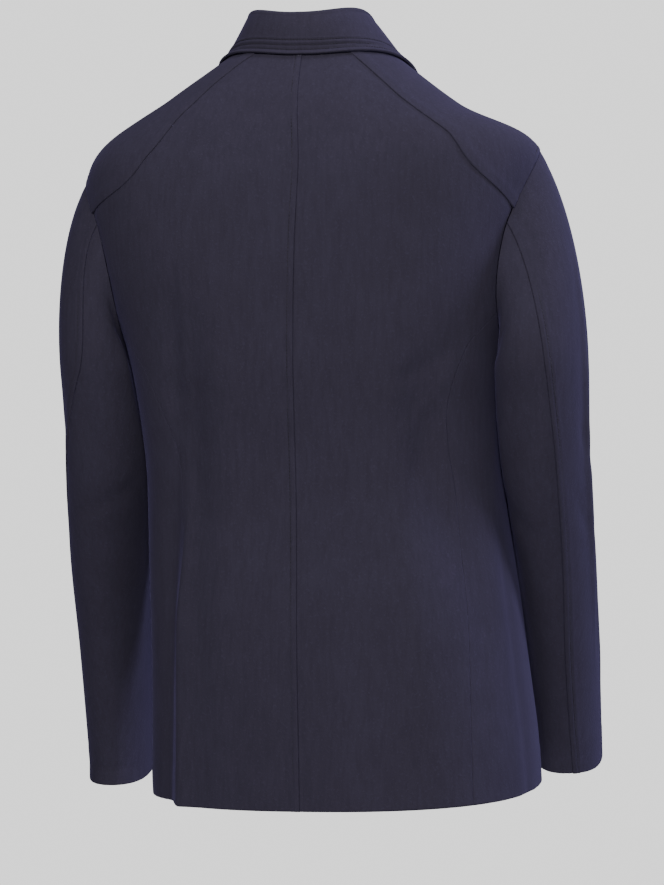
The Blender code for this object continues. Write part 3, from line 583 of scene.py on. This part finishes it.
# Sleeves. Sections for either arm from under the armhole to the cuff.
sleeve = {
    "columns": ("z", "out", "placeY", "halfX", "halfY", "square", "lean"),
    "rows": np.array([
        (-0.335, 0.2300, -0.0120, 0.0480, 0.0780, 2.2, 0.000),
        (-0.430, 0.2330, -0.0340, 0.0465, 0.0700, 2.15, 0.002),
        (-0.520, 0.2370, -0.0700, 0.0415, 0.0640, 2.1, 0.006),
        (-0.620, 0.2400, -0.1080, 0.0365, 0.0600, 2.1, 0.007),
        (-0.752, 0.2420, -0.1520, 0.0325, 0.0555, 2.1, 0.007),
    ]),
    "out": {"left": (-0.010, -0.008, 0.000, 0.004, 0.009), "right": (-0.004, -0.006, -0.003, -0.001, 0.000)},
    "seamBack": {"left": (8.0, 36.0, 60.0, 66.0, 62.0), "right": (12.0, 18.5, 14.5, 8.5, 9.5)},
    "seamFront": {"left": (205.0, 208.0, 212.0, 214.0, 214.0), "right": (198.0, 198.0, 198.0, 196.0, 196.0)},
    "cuffLower": {"left": 0.018, "right": -0.012},
    "clear": 0.0022,           # room kept beside the body, how softly, and where it stops mattering
    "clearSoftness": 0.0015,
    "clearBeyond": 30,
    "leaveUnder": np.array([0.35, 0.0, -1.0]),     # the way it leaves the armhole, under the arm and on top
    "leaveTop": np.array([0.52, 0.0, -0.85]),
    "lift": (-0.315, -0.20),
    "fullness": 1.2,
    "pull": 0.88,
    "arrive": 0.004,
    "slopeTurn": 0.8,          # steps for reading the surface's slope
    "slopeAlong": 0.01,
    "jointTurn": 0.5,          # at the armhole seam: steps along it and down the sleeve, sharpest mitre
    "jointAlong": 0.03,
    "jointMitre": 0.7,
    "firstRow": 0.0015,
    "folds": {
        "left": (
            (40.0, 70.0, -0.30, -0.38, -0.46, -0.56, 16.0, -0.0030),
            (250.0, 215.0, -0.36, -0.41, -0.45, -0.52, 20.0, -0.0040),
        ),
        "right": (
            (78.0, 62.0, -0.20, -0.32, -0.46, -0.62, 9.0, 0.0030),
            (350.0, 335.0, -0.30, -0.36, -0.40, -0.50, 18.0, -0.0040),
            (250.0, 215.0, -0.36, -0.41, -0.45, -0.52, 20.0, -0.0040),
        ),
    },
    # creases: from turn, along to turn, along, bow (m), half width (m), height (m)
    "creases": {
        "left": (
            (30, 1.10, -20, 1.30, 0.010, 0.0080, -0.0016),
            (50, 1.20, 0, 1.42, 0.008, 0.0090, -0.0013),
            (75, 1.05, 130, 1.22, -0.008, 0.0080, -0.0016),
            (90, 1.32, 150, 1.22, -0.008, 0.0080, -0.0014),
            (-60, 1.25, -110, 1.40, 0.008, 0.0090, -0.0014),
            (-70, 1.40, -110, 1.30, 0.008, 0.0080, 0.0010),
            (10, 1.55, -40, 1.75, 0.008, 0.0110, 0.0010),
            (100, 0.35, 130, 0.75, 0.006, 0.0080, -0.0012),
        ),
        "right": (
            (40, 1.08, 0, 1.26, 0.009, 0.0080, -0.0012),
            (60, 1.24, 20, 1.40, 0.008, 0.0090, -0.0012),
            (90, 1.10, 135, 1.25, -0.008, 0.0080, -0.0016),
            (85, 1.40, 140, 1.26, -0.008, 0.0090, -0.0014),
            (-55, 1.28, -105, 1.38, 0.008, 0.0090, -0.0014),
            (-66, 1.42, -108, 1.30, 0.008, 0.0080, 0.0010),
            (0, 1.52, -30, 1.80, 0.008, 0.0120, 0.0010),
            (100, 0.35, 128, 0.80, 0.006, 0.0080, -0.0012),
            (20, 0.25, 24, 1.80, 0.002, 0.0045, 0.0028),
        ),
    },
    "metresPerTurn": 0.00105,
    "metresAlong": 0.42,
}


def sleeveSection(side, z):
    rows = sleeve["rows"]
    heights = -rows[:, 0]
    section = {name: spline(heights, rows[:, k], -z) for k, name in enumerate(sleeve["columns"])}
    section["out"] = section["out"] + spline(heights, sleeve["out"][side], -z)
    return section


def sleeveAngle(side, turn, z):
    heights = -sleeve["rows"][:, 0]
    back = spline(heights, sleeve["seamBack"][side], -z)
    front = spline(heights, sleeve["seamFront"][side], -z)
    start = armholes[side]["sleeveBack"]
    top = (start - turn) / (start - armSeams["sleeveFront"] + 360)
    under = (turn - start) / (armSeams["sleeveFront"] - start)
    return np.where(turn <= start, back + top * (front - back), back - under * (back + 360 - front))


def clearOfBody(points, room):
    rows, softness, beyond = body["rows"], sleeve["clearSoftness"], sleeve["clearBeyond"]
    height = points[..., 2] + np.interp(-points[..., 2], -rows[:, 6], rows[:, 11]) * points[..., 0]
    down = np.interp(-height, -rows[:, 6], rows[:, 0])
    section = bodySection(down)
    x, y = points[..., 0] - section["shift"], points[..., 1] - section["middle"]
    angle = np.degrees(np.arctan2(x, y)) - section["twist"]
    limit = bodyRadius(section, angle) + bodyFolds(angle, down) + room
    radius = np.hypot(x, y)
    over = (radius - limit) / softness
    wanted = limit + softness * np.log1p(np.exp(np.clip(over, -beyond, beyond)))
    grown = np.where(over > beyond, radius, wanted) / radius
    return np.stack([section["shift"] + x * grown, section["middle"] + y * grown, points[..., 2]], -1)


def sleeveRing(side, turn, z):
    section = sleeveSection(side, z)
    degrees = sleeveAngle(side, turn, z)
    sine, cosine = np.sin(np.radians(degrees)), np.cos(np.radians(degrees))
    n = section["square"]
    radius = ((np.abs(sine) / section["halfX"]) ** n + (np.abs(cosine) / section["halfY"]) ** n) ** (-1 / n)
    for top, bottom, starts, full, fades, ends, half, height in sleeve["folds"][side]:
        centre = top + (bottom - top) * smoothStep(-starts, -ends, -z)
        along = smoothStep(-starts, -full, -z) * (1 - smoothStep(-fades, -ends, -z))
        radius = radius + height * along * np.exp(-(turned(degrees - centre) / half) ** 2)
    x = sides[side] * (section["out"] + radius * sine)
    y = section["placeY"] + radius * cosine
    return clearOfBody(np.stack([x, y, z - section["lean"] * cosine], -1), sleeve["clear"])


def sleevePoint(side, turn, along):
    # along is 0 at the armhole, 1 under it and 2 at the cuff
    turn, along = np.broadcast_arrays(np.asarray(turn, float), np.asarray(along, float))
    mirror = np.array([sides[side], 1.0, 1.0])
    firstZ = np.full(turn.shape, sleeve["rows"][0][0])
    cuffZ = sleeve["rows"][-1][0] - sleeve["cuffLower"][side]
    lower = sleeveRing(side, turn, firstZ + (cuffZ - firstZ) * np.clip(along - 1, 0, 1))
    pairs = armhole(side, turn)
    start = bodyPoint(sides[side] * pairs[..., 0], pairs[..., 1])
    bottom = sleeveRing(side, turn, firstZ)
    arrive = unit(sleeveRing(side, turn, firstZ - sleeve["arrive"]) - bottom)
    lift = smoothStep(*sleeve["lift"], start[..., 2])[..., None]
    leave = (1 - lift) * sleeve["leaveUnder"] + lift * sleeve["leaveTop"]
    leave = unit((leave + np.array([0.0, sleeve["fullness"], 0.0]) * start[..., 1:2]) * mirror)
    pull = np.linalg.norm(bottom - start, axis=-1, keepdims=True) * sleeve["pull"]
    s = np.clip(along, 0, 1)[..., None]
    head = ((1 + 2 * s) * (1 - s) ** 2 * start + s * (1 - s) ** 2 * pull * leave
            + s * s * (3 - 2 * s) * bottom + s * s * (s - 1) * pull * arrive)
    return np.where((along < 1)[..., None], head, lower)


def sleeveNormal(side, turn, along):
    step, drop = sleeve["slopeTurn"], sleeve["slopeAlong"]
    across = sleevePoint(side, turn - step, along) - sleevePoint(side, turn + step, along)
    down = (sleevePoint(side, turn, np.minimum(along + drop, 2))
            - sleevePoint(side, turn, np.maximum(along - drop, 0)))
    return unit(np.cross(across, down)) * sides[side]


def sleeveCreases(side, turn, along):
    a, b = sleeve["metresPerTurn"], sleeve["metresAlong"]
    rows = [(p * a, q * b, r * a, s * b, *rest) for p, q, r, s, *rest in sleeve["creases"][side]]
    return creases(turn * a, along * b, rows) * smoothStep(0.0, 0.2, along)


def throughArmhole(side, turn):
    # the way through the cloth on the sleeve's side of the armhole seam
    pairs = armhole(side, turn)
    zero = np.zeros_like(turn)
    bodyOut = bodyNormal(sides[side] * pairs[..., 0], pairs[..., 1])
    sleeveOut = sleeveNormal(side, turn, zero)
    step = sleeve["jointTurn"]
    edge = unit(sleevePoint(side, turn + step, zero) - sleevePoint(side, turn - step, zero))
    away = sleevePoint(side, turn, zero + sleeve["jointAlong"]) - sleevePoint(side, turn, zero)
    away = unit(away - (away * edge).sum(-1, keepdims=True) * edge)
    shared = unit(bodyOut + sleeveOut)
    shared = shared / np.maximum((shared * bodyOut).sum(-1, keepdims=True), sleeve["jointMitre"])
    folded = ((bodyOut * away).sum(-1) < 0)[..., None]
    return np.where(folded, shared, sleeveOut)


def makeSleeves():
    for side in sides:
        start = armholes[side]["sleeveBack"]
        ends = {"top": (start, armSeams["sleeveFront"] - 360), "under": (start, armSeams["sleeveFront"])}
        head = spaced(panels["headLength"], end=False)
        lower = 1 + spaced(panels["armLength"], start=False)
        along = np.concatenate([head, lower[1:]])
        along[0] = sleeve["firstRow"]
        for part, (first, last) in ends.items():
            width = panels[part + "Width"]
            turns = first + squeezed(spaced(width), width) * (last - first)
            turn, row = np.meshgrid(turns, along)
            normal = sleeveNormal(side, turn, row)
            base = sleevePoint(side, turn, row) + normal * sleeveCreases(side, turn, row)[..., None]
            through = throughArmhole(side, turns)
            mix = smoothStep(0.0, sleeve["jointAlong"], along)[:, None, None]
            inward = (1 - mix) * through[None] + mix * normal
            seam = "stitched" if part == "top" else "under"
            distances = [distanceTo(base, line) for line in (base[:, 0], base[:, -1], base[0], base[-1])]
            height, depth = relief(distances, (seam, "pressed", "pressed", "turned"))
            outer = base + normal * height[..., None]
            inner = base - inward * depth[..., None]
            name = f"sleeve_{part}_{side}"
            sewn(name, shell("wool_" + name, outer, inner))


makeSleeves()
print("sleeves set in")

# Collar: stand, roll over its top, and fall with three rows of stitching.
collar = {
    "angles": (0.0, 40.0, 75.0, 110.0, 150.0, 176.0),
    "rise": (0.027, 0.0265, 0.024, 0.020, 0.014, 0.008),
    "lean": (0.001, 0.005, 0.010, 0.010, 0.006, 0.003),
    "reach": (0.020, 0.023, 0.029, 0.041, 0.059, 0.084),
    "spread": (0.0, 0.0, 1.0, 4.0, 12.0, 25.0),
    "sway": 0.0045,
    "roll": 0.0040,
    "drop": 0.45,
    "clear": 0.0009,
    "foot": 0.0006,                    # how far the stand starts above the neckline
    "above": 0.0003,                   # room under the roll
    "rollSteps": 15,
    "rows": (0.005, 0.009, 0.014),     # stitch rows above the fall's edge, how deep and wide they sink in
    "sink": 0.0010,
    "sinkWidth": 0.0010,
    "band": 0.0006,                    # how much the stitched band stands out, and how fast it ends
    "bandFade": 0.003,
    "blend": 14,                       # rows from the roll to the full relief
    "edgeRows": 44,                    # rows of the fall that hold the stitching
    "endColumns": 6,                   # columns free of stitches at either end
    "length": 0.5, "height": 0.06, "standHeight": 0.03,
    "step": 0.0035, "fallStep": 0.0010, "standStep": 0.004,
    "under": (0.16, 541, 121),         # the body's grid below it: how far down, columns and rows
}


def aboveBody(points, clear):
    reach, columns, rows = collar["under"]
    angle, down = np.meshgrid(np.linspace(-180, 180, columns), np.linspace(0, reach, rows))
    surface, normal = bodyPoint(angle, down).reshape(-1, 3), bodyNormal(angle, down).reshape(-1, 3)
    rise = lapRise(np.abs(angle), down).ravel()
    tree = kdtree.KDTree(len(surface))
    for k, place in enumerate(surface):
        tree.insert(place, k)
    tree.balance()
    flat = points.reshape(-1, 3).copy()
    near = np.array([tree.find(place)[1] for place in flat])
    height = ((flat - surface[near]) * normal[near]).sum(-1)
    flat += normal[near] * np.maximum(0.0, clear + rise[near] - height)[:, None]
    return flat.reshape(points.shape)


def collarLines(angle):
    size = np.abs(angle)
    rise, lean, reach, spread = (
        spline(collar["angles"], collar[name], size) for name in ("rise", "lean", "reach", "spread")
    )
    foot = bodyPoint(angle, np.zeros_like(angle))
    outward = unit((foot - np.array([0.0, body["rows"][0][4], 0.0])) * np.array([1.0, 1.0, 0.0]))
    share = (rise / collar["rise"][0])[:, None]
    top = foot + up * rise[:, None] - outward * lean[:, None] + np.array([collar["sway"], 0.0, 0.0]) * share
    edge = bodyPoint(np.sign(angle) * (size - spread), reach)
    return foot, top, outward, edge


def fallSurface(angle, shares):
    foot, top, outward, edge = collarLines(angle)
    start = top + up * collar["above"] + outward * (collar["roll"] + cloth["thick"])
    pull = start + collar["drop"] * (foot - top) + outward * collar["roll"]
    s = shares[:, None, None]
    curve = (1 - s) ** 2 * start + 2 * s * (1 - s) * pull + s ** 2 * edge
    return aboveBody(curve, cloth["thick"] + collar["clear"])


def makeCollar():
    end = collar["angles"][-1]
    angle = end * (2 * spaced(collar["length"], collar["step"]) - 1)
    foot, top, outward, edge = collarLines(angle)
    lifted = foot + up * collar["foot"]
    outer = lifted + spaced(collar["standHeight"], collar["standStep"])[:, None, None] * (top - lifted)
    stand = shell("wool_collar_stand", outer, outer - outward[None] * cloth["thick"])
    sewn("collar_stand", stand)
    rollOuter, rollInner = [], []
    middle = top + up * collar["above"] + outward * collar["roll"] / 2
    for turn in np.linspace(0, math.pi, collar["rollSteps"])[:-1]:
        spoke = up * math.sin(turn) - outward * math.cos(turn)
        rollOuter.append(middle + spoke * (collar["roll"] / 2 + cloth["thick"]))
        rollInner.append(middle + spoke * collar["roll"] / 2)
    fall = fallSurface(angle, spaced(collar["height"], collar["fallStep"], start=False))
    base = np.concatenate([rollOuter, fall])
    normal = unit(np.cross(np.gradient(base, axis=1), np.gradient(base, axis=0)))
    normal *= np.sign((normal[-1] * outward).sum())
    distances = [distanceTo(base, line) for line in (base[:, 0], base[:, -1], base[-1])]
    height, depth = relief(distances, ("pressed", "pressed", "pressed"))
    for row in collar["rows"]:
        height = height - collar["sink"] * np.exp(-((distances[2] - row) / collar["sinkWidth"]) ** 2)
    last = collar["rows"][-1]
    height = height + collar["band"] * (1 - smoothStep(last, last + collar["bandFade"], distances[2]))
    count = len(rollOuter)
    ramp = smoothStep(0, collar["blend"], np.arange(len(base)) - count)[:, None]
    outer = base + normal * (height * ramp)[..., None]
    inner = base - normal * depth[..., None]
    inner[:count] = rollInner
    sewn("collar_fall", shell("wool_collar_fall", outer, inner))
    return distances[2], base, normal


collarEdge, collarBase, collarNormal = makeCollar()
print("collar turned down")

# Sewing thread. Each stitch is a short thread that dips into the cloth at both ends. It is a little
# thicker than real thread, so that it shows.
stitching = {
    "pitch": 0.0034, "collarPitch": 0.0030,
    "length": 0.8,          # of a stitch, as a share of the pitch
    "radius": 0.00036, "sides": 6,
    "lift": 0.0002, "collarLift": 0.0001,
    "rings": np.array([(-0.5, 0.15, -0.9), (-0.42, 0.75, -0.1), (-0.18, 1.0, 0.35),
                       (0.18, 1.0, 0.35), (0.42, 0.75, -0.1), (0.5, 0.15, -0.9)]),
    "nextTurn": 4, "inside": 0.02, "yokeMiddle": np.array([70.0, 0.0]), "yokeEnds": 3,
}


def resample(line, pitch):
    lengths = np.concatenate([[0], np.cumsum(np.linalg.norm(np.diff(line, axis=0), axis=1))])
    at = np.arange(pitch, lengths[-1] - pitch / 2, pitch)
    return np.stack([np.interp(at, lengths, line[:, k]) for k in range(3)], -1), at / lengths[-1]


def stitchPieces(centres, ways, normals, length, radius):
    # points and faces of many threads at once
    rings, count = stitching["rings"], stitching["sides"]
    turn = 2 * math.pi * np.arange(count) / count
    across = np.cross(ways, normals)
    along = rings[:, 0][None, :, None, None] * length * ways[:, None, None]
    lift = rings[:, 2][None, :, None, None] * radius * normals[:, None, None]
    size = rings[:, 1][None, :, None, None] * radius
    spokes = (np.cos(turn)[None, None, :, None] * across[:, None, None]
              + np.sin(turn)[None, None, :, None] * normals[:, None, None])
    points = centres[:, None, None] + along + lift + size * spokes
    total = len(rings) * count
    faces = []
    for ring in range(len(rings) - 1):
        for k in range(count):
            after = (k + 1) % count
            a, b = ring * count, (ring + 1) * count
            faces.append((a + k, a + after, b + after, b + k))
    faces = np.array(faces)[None] + (np.arange(len(centres)) * total)[:, None, None]
    return points.reshape(-1, 3), faces.reshape(-1, 4)


def sew(name, rows, pitch=stitching["pitch"]):
    # rows are (line, normals) pairs; makes one piece of all their stitches
    points, faces, total = [], [], 0
    for line, normals in rows:
        centres, shares = resample(line, pitch)
        ways = unit(np.gradient(centres, axis=0))
        at = np.linspace(0, 1, len(line))
        facing = unit(np.stack([np.interp(shares, at, normals[:, k]) for k in range(3)], -1))
        p, f = stitchPieces(centres, ways, facing, pitch * stitching["length"], stitching["radius"])
        points.append(p)
        faces.append(f + total)
        total += len(p)
    threadPiece(name, np.concatenate(points), np.concatenate(faces))


def threadPiece(name, points, faces):
    mesh = bpy.data.meshes.new(name)
    mesh.from_pydata(points.tolist(), [], faces.tolist())
    mesh.materials.append(threadNavy)
    mesh.shade_smooth()
    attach(placed(name, mesh), "root")


def backRow(offset):
    down = np.linspace(0.012, body["hem"] - 0.004, 400)
    angle = np.degrees(offset / bodyRadius(bodySection(down), np.zeros_like(down)))
    normal = bodyNormal(angle, down)
    return bodyPoint(angle, down) + normal * stitching["lift"], normal


def sleeveRow(side, offset):
    along = np.concatenate([np.linspace(0.02, 1, 120), np.linspace(1, 1.985, 200)[1:]])
    first, step = armholes[side]["sleeveBack"], stitching["nextTurn"]
    seam = sleevePoint(side, np.full_like(along, first), along)
    nextTo = sleevePoint(side, np.full_like(along, first - step), along)
    turn = first - step * offset / np.linalg.norm(nextTo - seam, axis=-1)
    normal = sleeveNormal(side, turn, along)
    height = sleeveCreases(side, turn, along) + stitching["lift"]
    return sleevePoint(side, turn, along) + normal * height[..., None], normal


def yokeRow(side, offset):
    free = stitching["yokeEnds"]
    turn = np.linspace(armholes[side]["yokeBack"] - free, armSeams["yokeFront"] - 360 + free, 160)
    hole = armhole(side, turn)
    inside = hole + (stitching["yokeMiddle"] - hole) * stitching["inside"]
    near = bodyPoint(sides[side] * inside[:, 0], inside[:, 1])
    reach = np.linalg.norm(near - bodyPoint(sides[side] * hole[:, 0], hole[:, 1]), axis=-1)
    pairs = hole + (inside - hole) * (offset / reach)[:, None]
    angle, down = sides[side] * pairs[:, 0], pairs[:, 1]
    normal = bodyNormal(angle, down)
    return bodyPoint(angle, down) + normal * stitching["lift"], normal


def collarRow(above):
    rows, ends = collar["edgeRows"], collar["endColumns"]
    far, base, normal = collarEdge[-rows:], collarBase[-rows:], collarNormal[-rows:]
    line, normals = [], []
    for column in range(ends, base.shape[1] - ends):
        order = np.argsort(far[:, column])
        line.append([np.interp(above, far[:, column][order], base[:, column, k][order]) for k in range(3)])
        normals.append(normal[:, column][np.argmin(np.abs(far[:, column] - above))])
    line, normals = np.array(line), np.array(normals)
    return line + normals * stitching["collarLift"], normals


def stitchRows():
    offset = seamKinds["stitched"]["row"]
    sew("thread_centre_back", [backRow(offset)])
    sew("thread_sleeves", [sleeveRow(side, offset) for side in sides])
    sew("thread_yokes", [yokeRow(side, offset) for side in sides])
    sew("thread_collar", [collarRow(above) for above in collar["rows"]], stitching["collarPitch"])


stitchRows()
print("stitch rows sewn")

# Horn buttons on the left front, each with four holes, and the worked buttonhole under it.
button = {
    "radius": 0.0120, "thick": 0.0036, "rim": 0.0026, "steps": 64, "noseSteps": 9, "sharp": 40,
    "first": 0.040, "last": 0.560, "count": 5, "lift": 0.0006,
    # the dished face from the rim inwards: shares of the rim taken off the radius, and of the thickness
    "dish": ((1.0, 0.97), (1.25, 0.86), (1.6, 0.72)), "middle": (0.5, 0.67), "face": 0.66, "foot": 0.6,
    "holes": 4, "hole": 0.0011, "holeSpread": 0.0021, "drill": 0.01, "drillSteps": 20,
    "threadLift": 0.0002, "threadShift": 0.00035, "threadOver": 0.0012, "thread": 0.0003,
    "slit": 0.029, "slitShift": 0.003, "slitPitch": 0.0008,
    "slitSide": 0.0013, "slitStitch": 0.0022, "slitThread": 0.0004,
}


def lathe(name, profile, steps):
    points, faces = [(0.0, 0.0, profile[0][1])], []
    for radius, height in profile[1:-1]:
        for n in range(steps):
            turn = 2 * math.pi * n / steps
            points.append((radius * math.cos(turn), radius * math.sin(turn), height))
    points.append((0.0, 0.0, profile[-1][1]))
    for n in range(steps):
        after = (n + 1) % steps
        faces.append((0, 1 + after, 1 + n))
        for ring in range(len(profile) - 3):
            low, high = 1 + ring * steps, 1 + (ring + 1) * steps
            faces.append((low + n, low + after, high + after, high + n))
        last = 1 + (len(profile) - 3) * steps
        faces.append((last + n, last + after, len(points) - 1))
    mesh = bpy.data.meshes.new(name)
    mesh.from_pydata(points, [], faces)
    mesh.materials.append(hornDark)
    return placed(name, mesh)


def drilledButton():
    r, t, rim, deep = button["radius"], button["thick"], button["rim"], button["drill"]
    turn = np.linspace(-math.pi / 2, math.pi / 2, button["noseSteps"])
    nose = [(r - t / 2 + t / 2 * math.cos(a), t / 2 + t / 2 * math.sin(a)) for a in turn]
    dish = [(r - rim * share, t * height) for share, height in button["dish"]]
    middle = (r * button["middle"][0], t * button["middle"][1])
    profile = [(0.0, 0.0), (r * button["foot"], 0.0), *nose, *dish, middle, (0.0, t * button["face"])]
    blank = lathe("buttonBlank", profile, button["steps"])
    drill = []
    for k in range(button["holes"]):
        a = math.pi / 4 + k * math.pi / 2
        outline = [(0.0, -deep), (button["hole"], -deep), (button["hole"], deep), (0.0, deep)]
        bit = lathe("drill", outline, button["drillSteps"])
        bit.location = (button["holeSpread"] * math.cos(a), button["holeSpread"] * math.sin(a), 0.0)
        cut = blank.modifiers.new("drill", "BOOLEAN")
        cut.operation = "DIFFERENCE"
        cut.solver = "EXACT"
        cut.object = bit
        drill.append(bit)
    bpy.context.view_layer.update()
    depsgraph = bpy.context.evaluated_depsgraph_get()
    mesh = bpy.data.meshes.new_from_object(blank.evaluated_get(depsgraph))
    for bit in drill:
        bpy.data.objects.remove(bit)
    bpy.data.objects.remove(blank)
    mesh.shade_smooth()
    mesh.set_sharp_from_angle(angle=math.radians(button["sharp"]))
    return mesh


def buttonThreads(place, normal, across, upward):
    # two pairs of threads lie across the dished face
    spread = button["holeSpread"] * math.sin(math.pi / 4)
    top = place + normal * (button["thick"] * button["face"] + button["threadLift"])
    length = 2 * spread + button["threadOver"]
    made = []
    for sign in (-1, 1):
        for shift in (-button["threadShift"], button["threadShift"]):
            centre = top + upward * (sign * spread + shift)
            made.append(stitchPieces(centre[None], across[None], normal[None], length, button["thread"]))
    return made


def buttonholeStitches(surface, normal, across, upward):
    # the worked edges of the slit
    at = np.arange(-0.5, 0.5001, button["slitPitch"] / button["slit"]) * button["slit"] - button["slitShift"]
    slit = surface + across * at[:, None]
    ways, normals = np.repeat(upward[None], len(at), 0), np.repeat(normal[None], len(at), 0)
    length, radius = button["slitStitch"], button["slitThread"]
    return [stitchPieces(slit + upward * sign * button["slitSide"], ways, normals, length, radius)
            for sign in (-1, 1)]


def makeButtons():
    mesh = drilledButton()
    points, faces, total = [], [], 0
    across = np.array([1.0, 0.0, 0.0])
    for k, down in enumerate(np.linspace(button["first"], button["last"], button["count"])):
        normal = bodyNormal(np.array(180.0), np.array(down))
        surface = bodyPoint(np.array(180.0), np.array(down)) + normal * overlap["rise"]
        place = surface + normal * button["lift"]
        made = placed(f"horn_button_{k + 1}", mesh.copy())
        made.location = place
        made.rotation_euler = (math.atan2(-normal[1], normal[2]), 0.0, 0.0)
        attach(made, "root")
        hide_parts(f"button_{k + 1}")
        upward = np.cross(normal, across)
        threads = buttonThreads(place, normal, across, upward)
        for p, f in threads + buttonholeStitches(surface, normal, across, upward):
            points.append(p)
            faces.append(f + total)
            total += len(p)
    threadPiece("thread_buttons", np.concatenate(points), np.concatenate(faces))


makeButtons()
print("buttons sewn on")

# Camera at the photograph's angle, and the studio.
studio = {
    "turn": 12.0, "rise": 2.0, "distance": 2.6, "sideways": 0.0157, "height": -0.403,
    "focal": 2567.0, "frameHeight": 885.0, "sensor": 36.0,
    "grey": 1.46, "fill": 0.035, "floorZ": -1.45, "floorHalf": 2.5, "floorSteps": 96,
}

# Soft boxes: name, place, aim, size, power and colour.
lamps = (
    ("keyBox", (-0.45, 3.0, 1.1), (0.0, 0.0, -0.4), (0.8, 0.9), 79.0, "#fffaf6"),
    ("fillBox", (1.1, 2.0, 1.8), (0.1, 0.0, -0.1), (0.7, 0.7), 12.0, "#f6f2ff"),
    ("topBox", (-0.4, 0.2, 1.9), (0.0, 0.0, -0.1), (0.9, 0.8), 20.0, "#ece6ff"),
    ("rightStrip", (-2.1, -0.75, 0.3), (-0.25, 0.0, -0.4), (0.3, 1.8), 44.0, "#d4cdfa"),
)


def makeCamera():
    turn, rise = math.radians(studio["turn"]), math.radians(studio["rise"])
    right = Vector((-math.cos(turn), -math.sin(turn), 0.0))
    back = Vector((-math.sin(turn) * math.cos(rise), math.cos(turn) * math.cos(rise), math.sin(rise)))
    lens = bpy.data.cameras.new("camera")
    lens.sensor_fit = "VERTICAL"
    lens.sensor_height = studio["sensor"]
    lens.lens = studio["focal"] * studio["sensor"] / studio["frameHeight"]
    made = placed("camera", lens)
    made.location = right * studio["sideways"] + Vector((0, 0, studio["height"])) + back * studio["distance"]
    made.rotation_euler = (-back).to_track_quat("-Z", "Y").to_euler()
    bpy.context.scene.camera = made


def softBox(name, place, aim, size, power, colour):
    lamp = bpy.data.lights.new(name, "AREA")
    lamp.shape = "RECTANGLE"
    lamp.size, lamp.size_y = size
    lamp.energy = power
    lamp.color = srgb(colour)[:3]
    made = placed(name, lamp)
    made.location = place
    made.rotation_euler = (Vector(aim) - Vector(place)).to_track_quat("-Z", "Y").to_euler()


def makeStudio():
    world = bpy.data.worlds.new("paleStudio")
    bpy.context.scene.world = world
    world.use_nodes = True
    tree = world.node_tree
    seen = tree.nodes["Background"]
    seen.inputs[0].default_value = (studio["grey"],) * 3 + (1.0,)
    fill = addNode(tree, "ShaderNodeBackground", {"Color": srgb("#e6e4f0"), "Strength": studio["fill"]})
    path = addNode(tree, "ShaderNodeLightPath")
    mix = addNode(tree, "ShaderNodeMixShader", {},
                  {0: path.outputs["Is Camera Ray"], 1: fill.outputs[0], 2: seen.outputs[0]})
    tree.links.new(mix.outputs[0], tree.nodes["World Output"].inputs["Surface"])
    half, z, steps = studio["floorHalf"], studio["floorZ"], studio["floorSteps"]
    turns = [2 * math.pi * k / steps for k in range(steps)]
    mesh = bpy.data.meshes.new("floor")
    mesh.from_pydata([(half * math.cos(a), half * math.sin(a), z) for a in turns], [], [tuple(range(steps))])
    paper, tree, shader = newMaterial("paleFloor")
    place = addNode(tree, "ShaderNodeTexCoord").outputs["Object"]
    grain = addNode(tree, "ShaderNodeTexNoise", {"Scale": 30.0, "Detail": 3.0}, {"Vector": place})
    colour = addNode(tree, "ShaderNodeMix", {"data_type": "RGBA", 6: srgb("#d2d2d2"), 7: srgb("#d8d8d8")},
                     {0: grain.outputs[0]})
    tree.links.new(colour.outputs[2], shader.inputs["Base Color"])
    shader.inputs["Roughness"].default_value = 0.8
    mesh.materials.append(paper)
    placed("floor", mesh)


makeCamera()
makeStudio()
for lamp in lamps:
    softBox(*lamp)
print("camera and studio set")
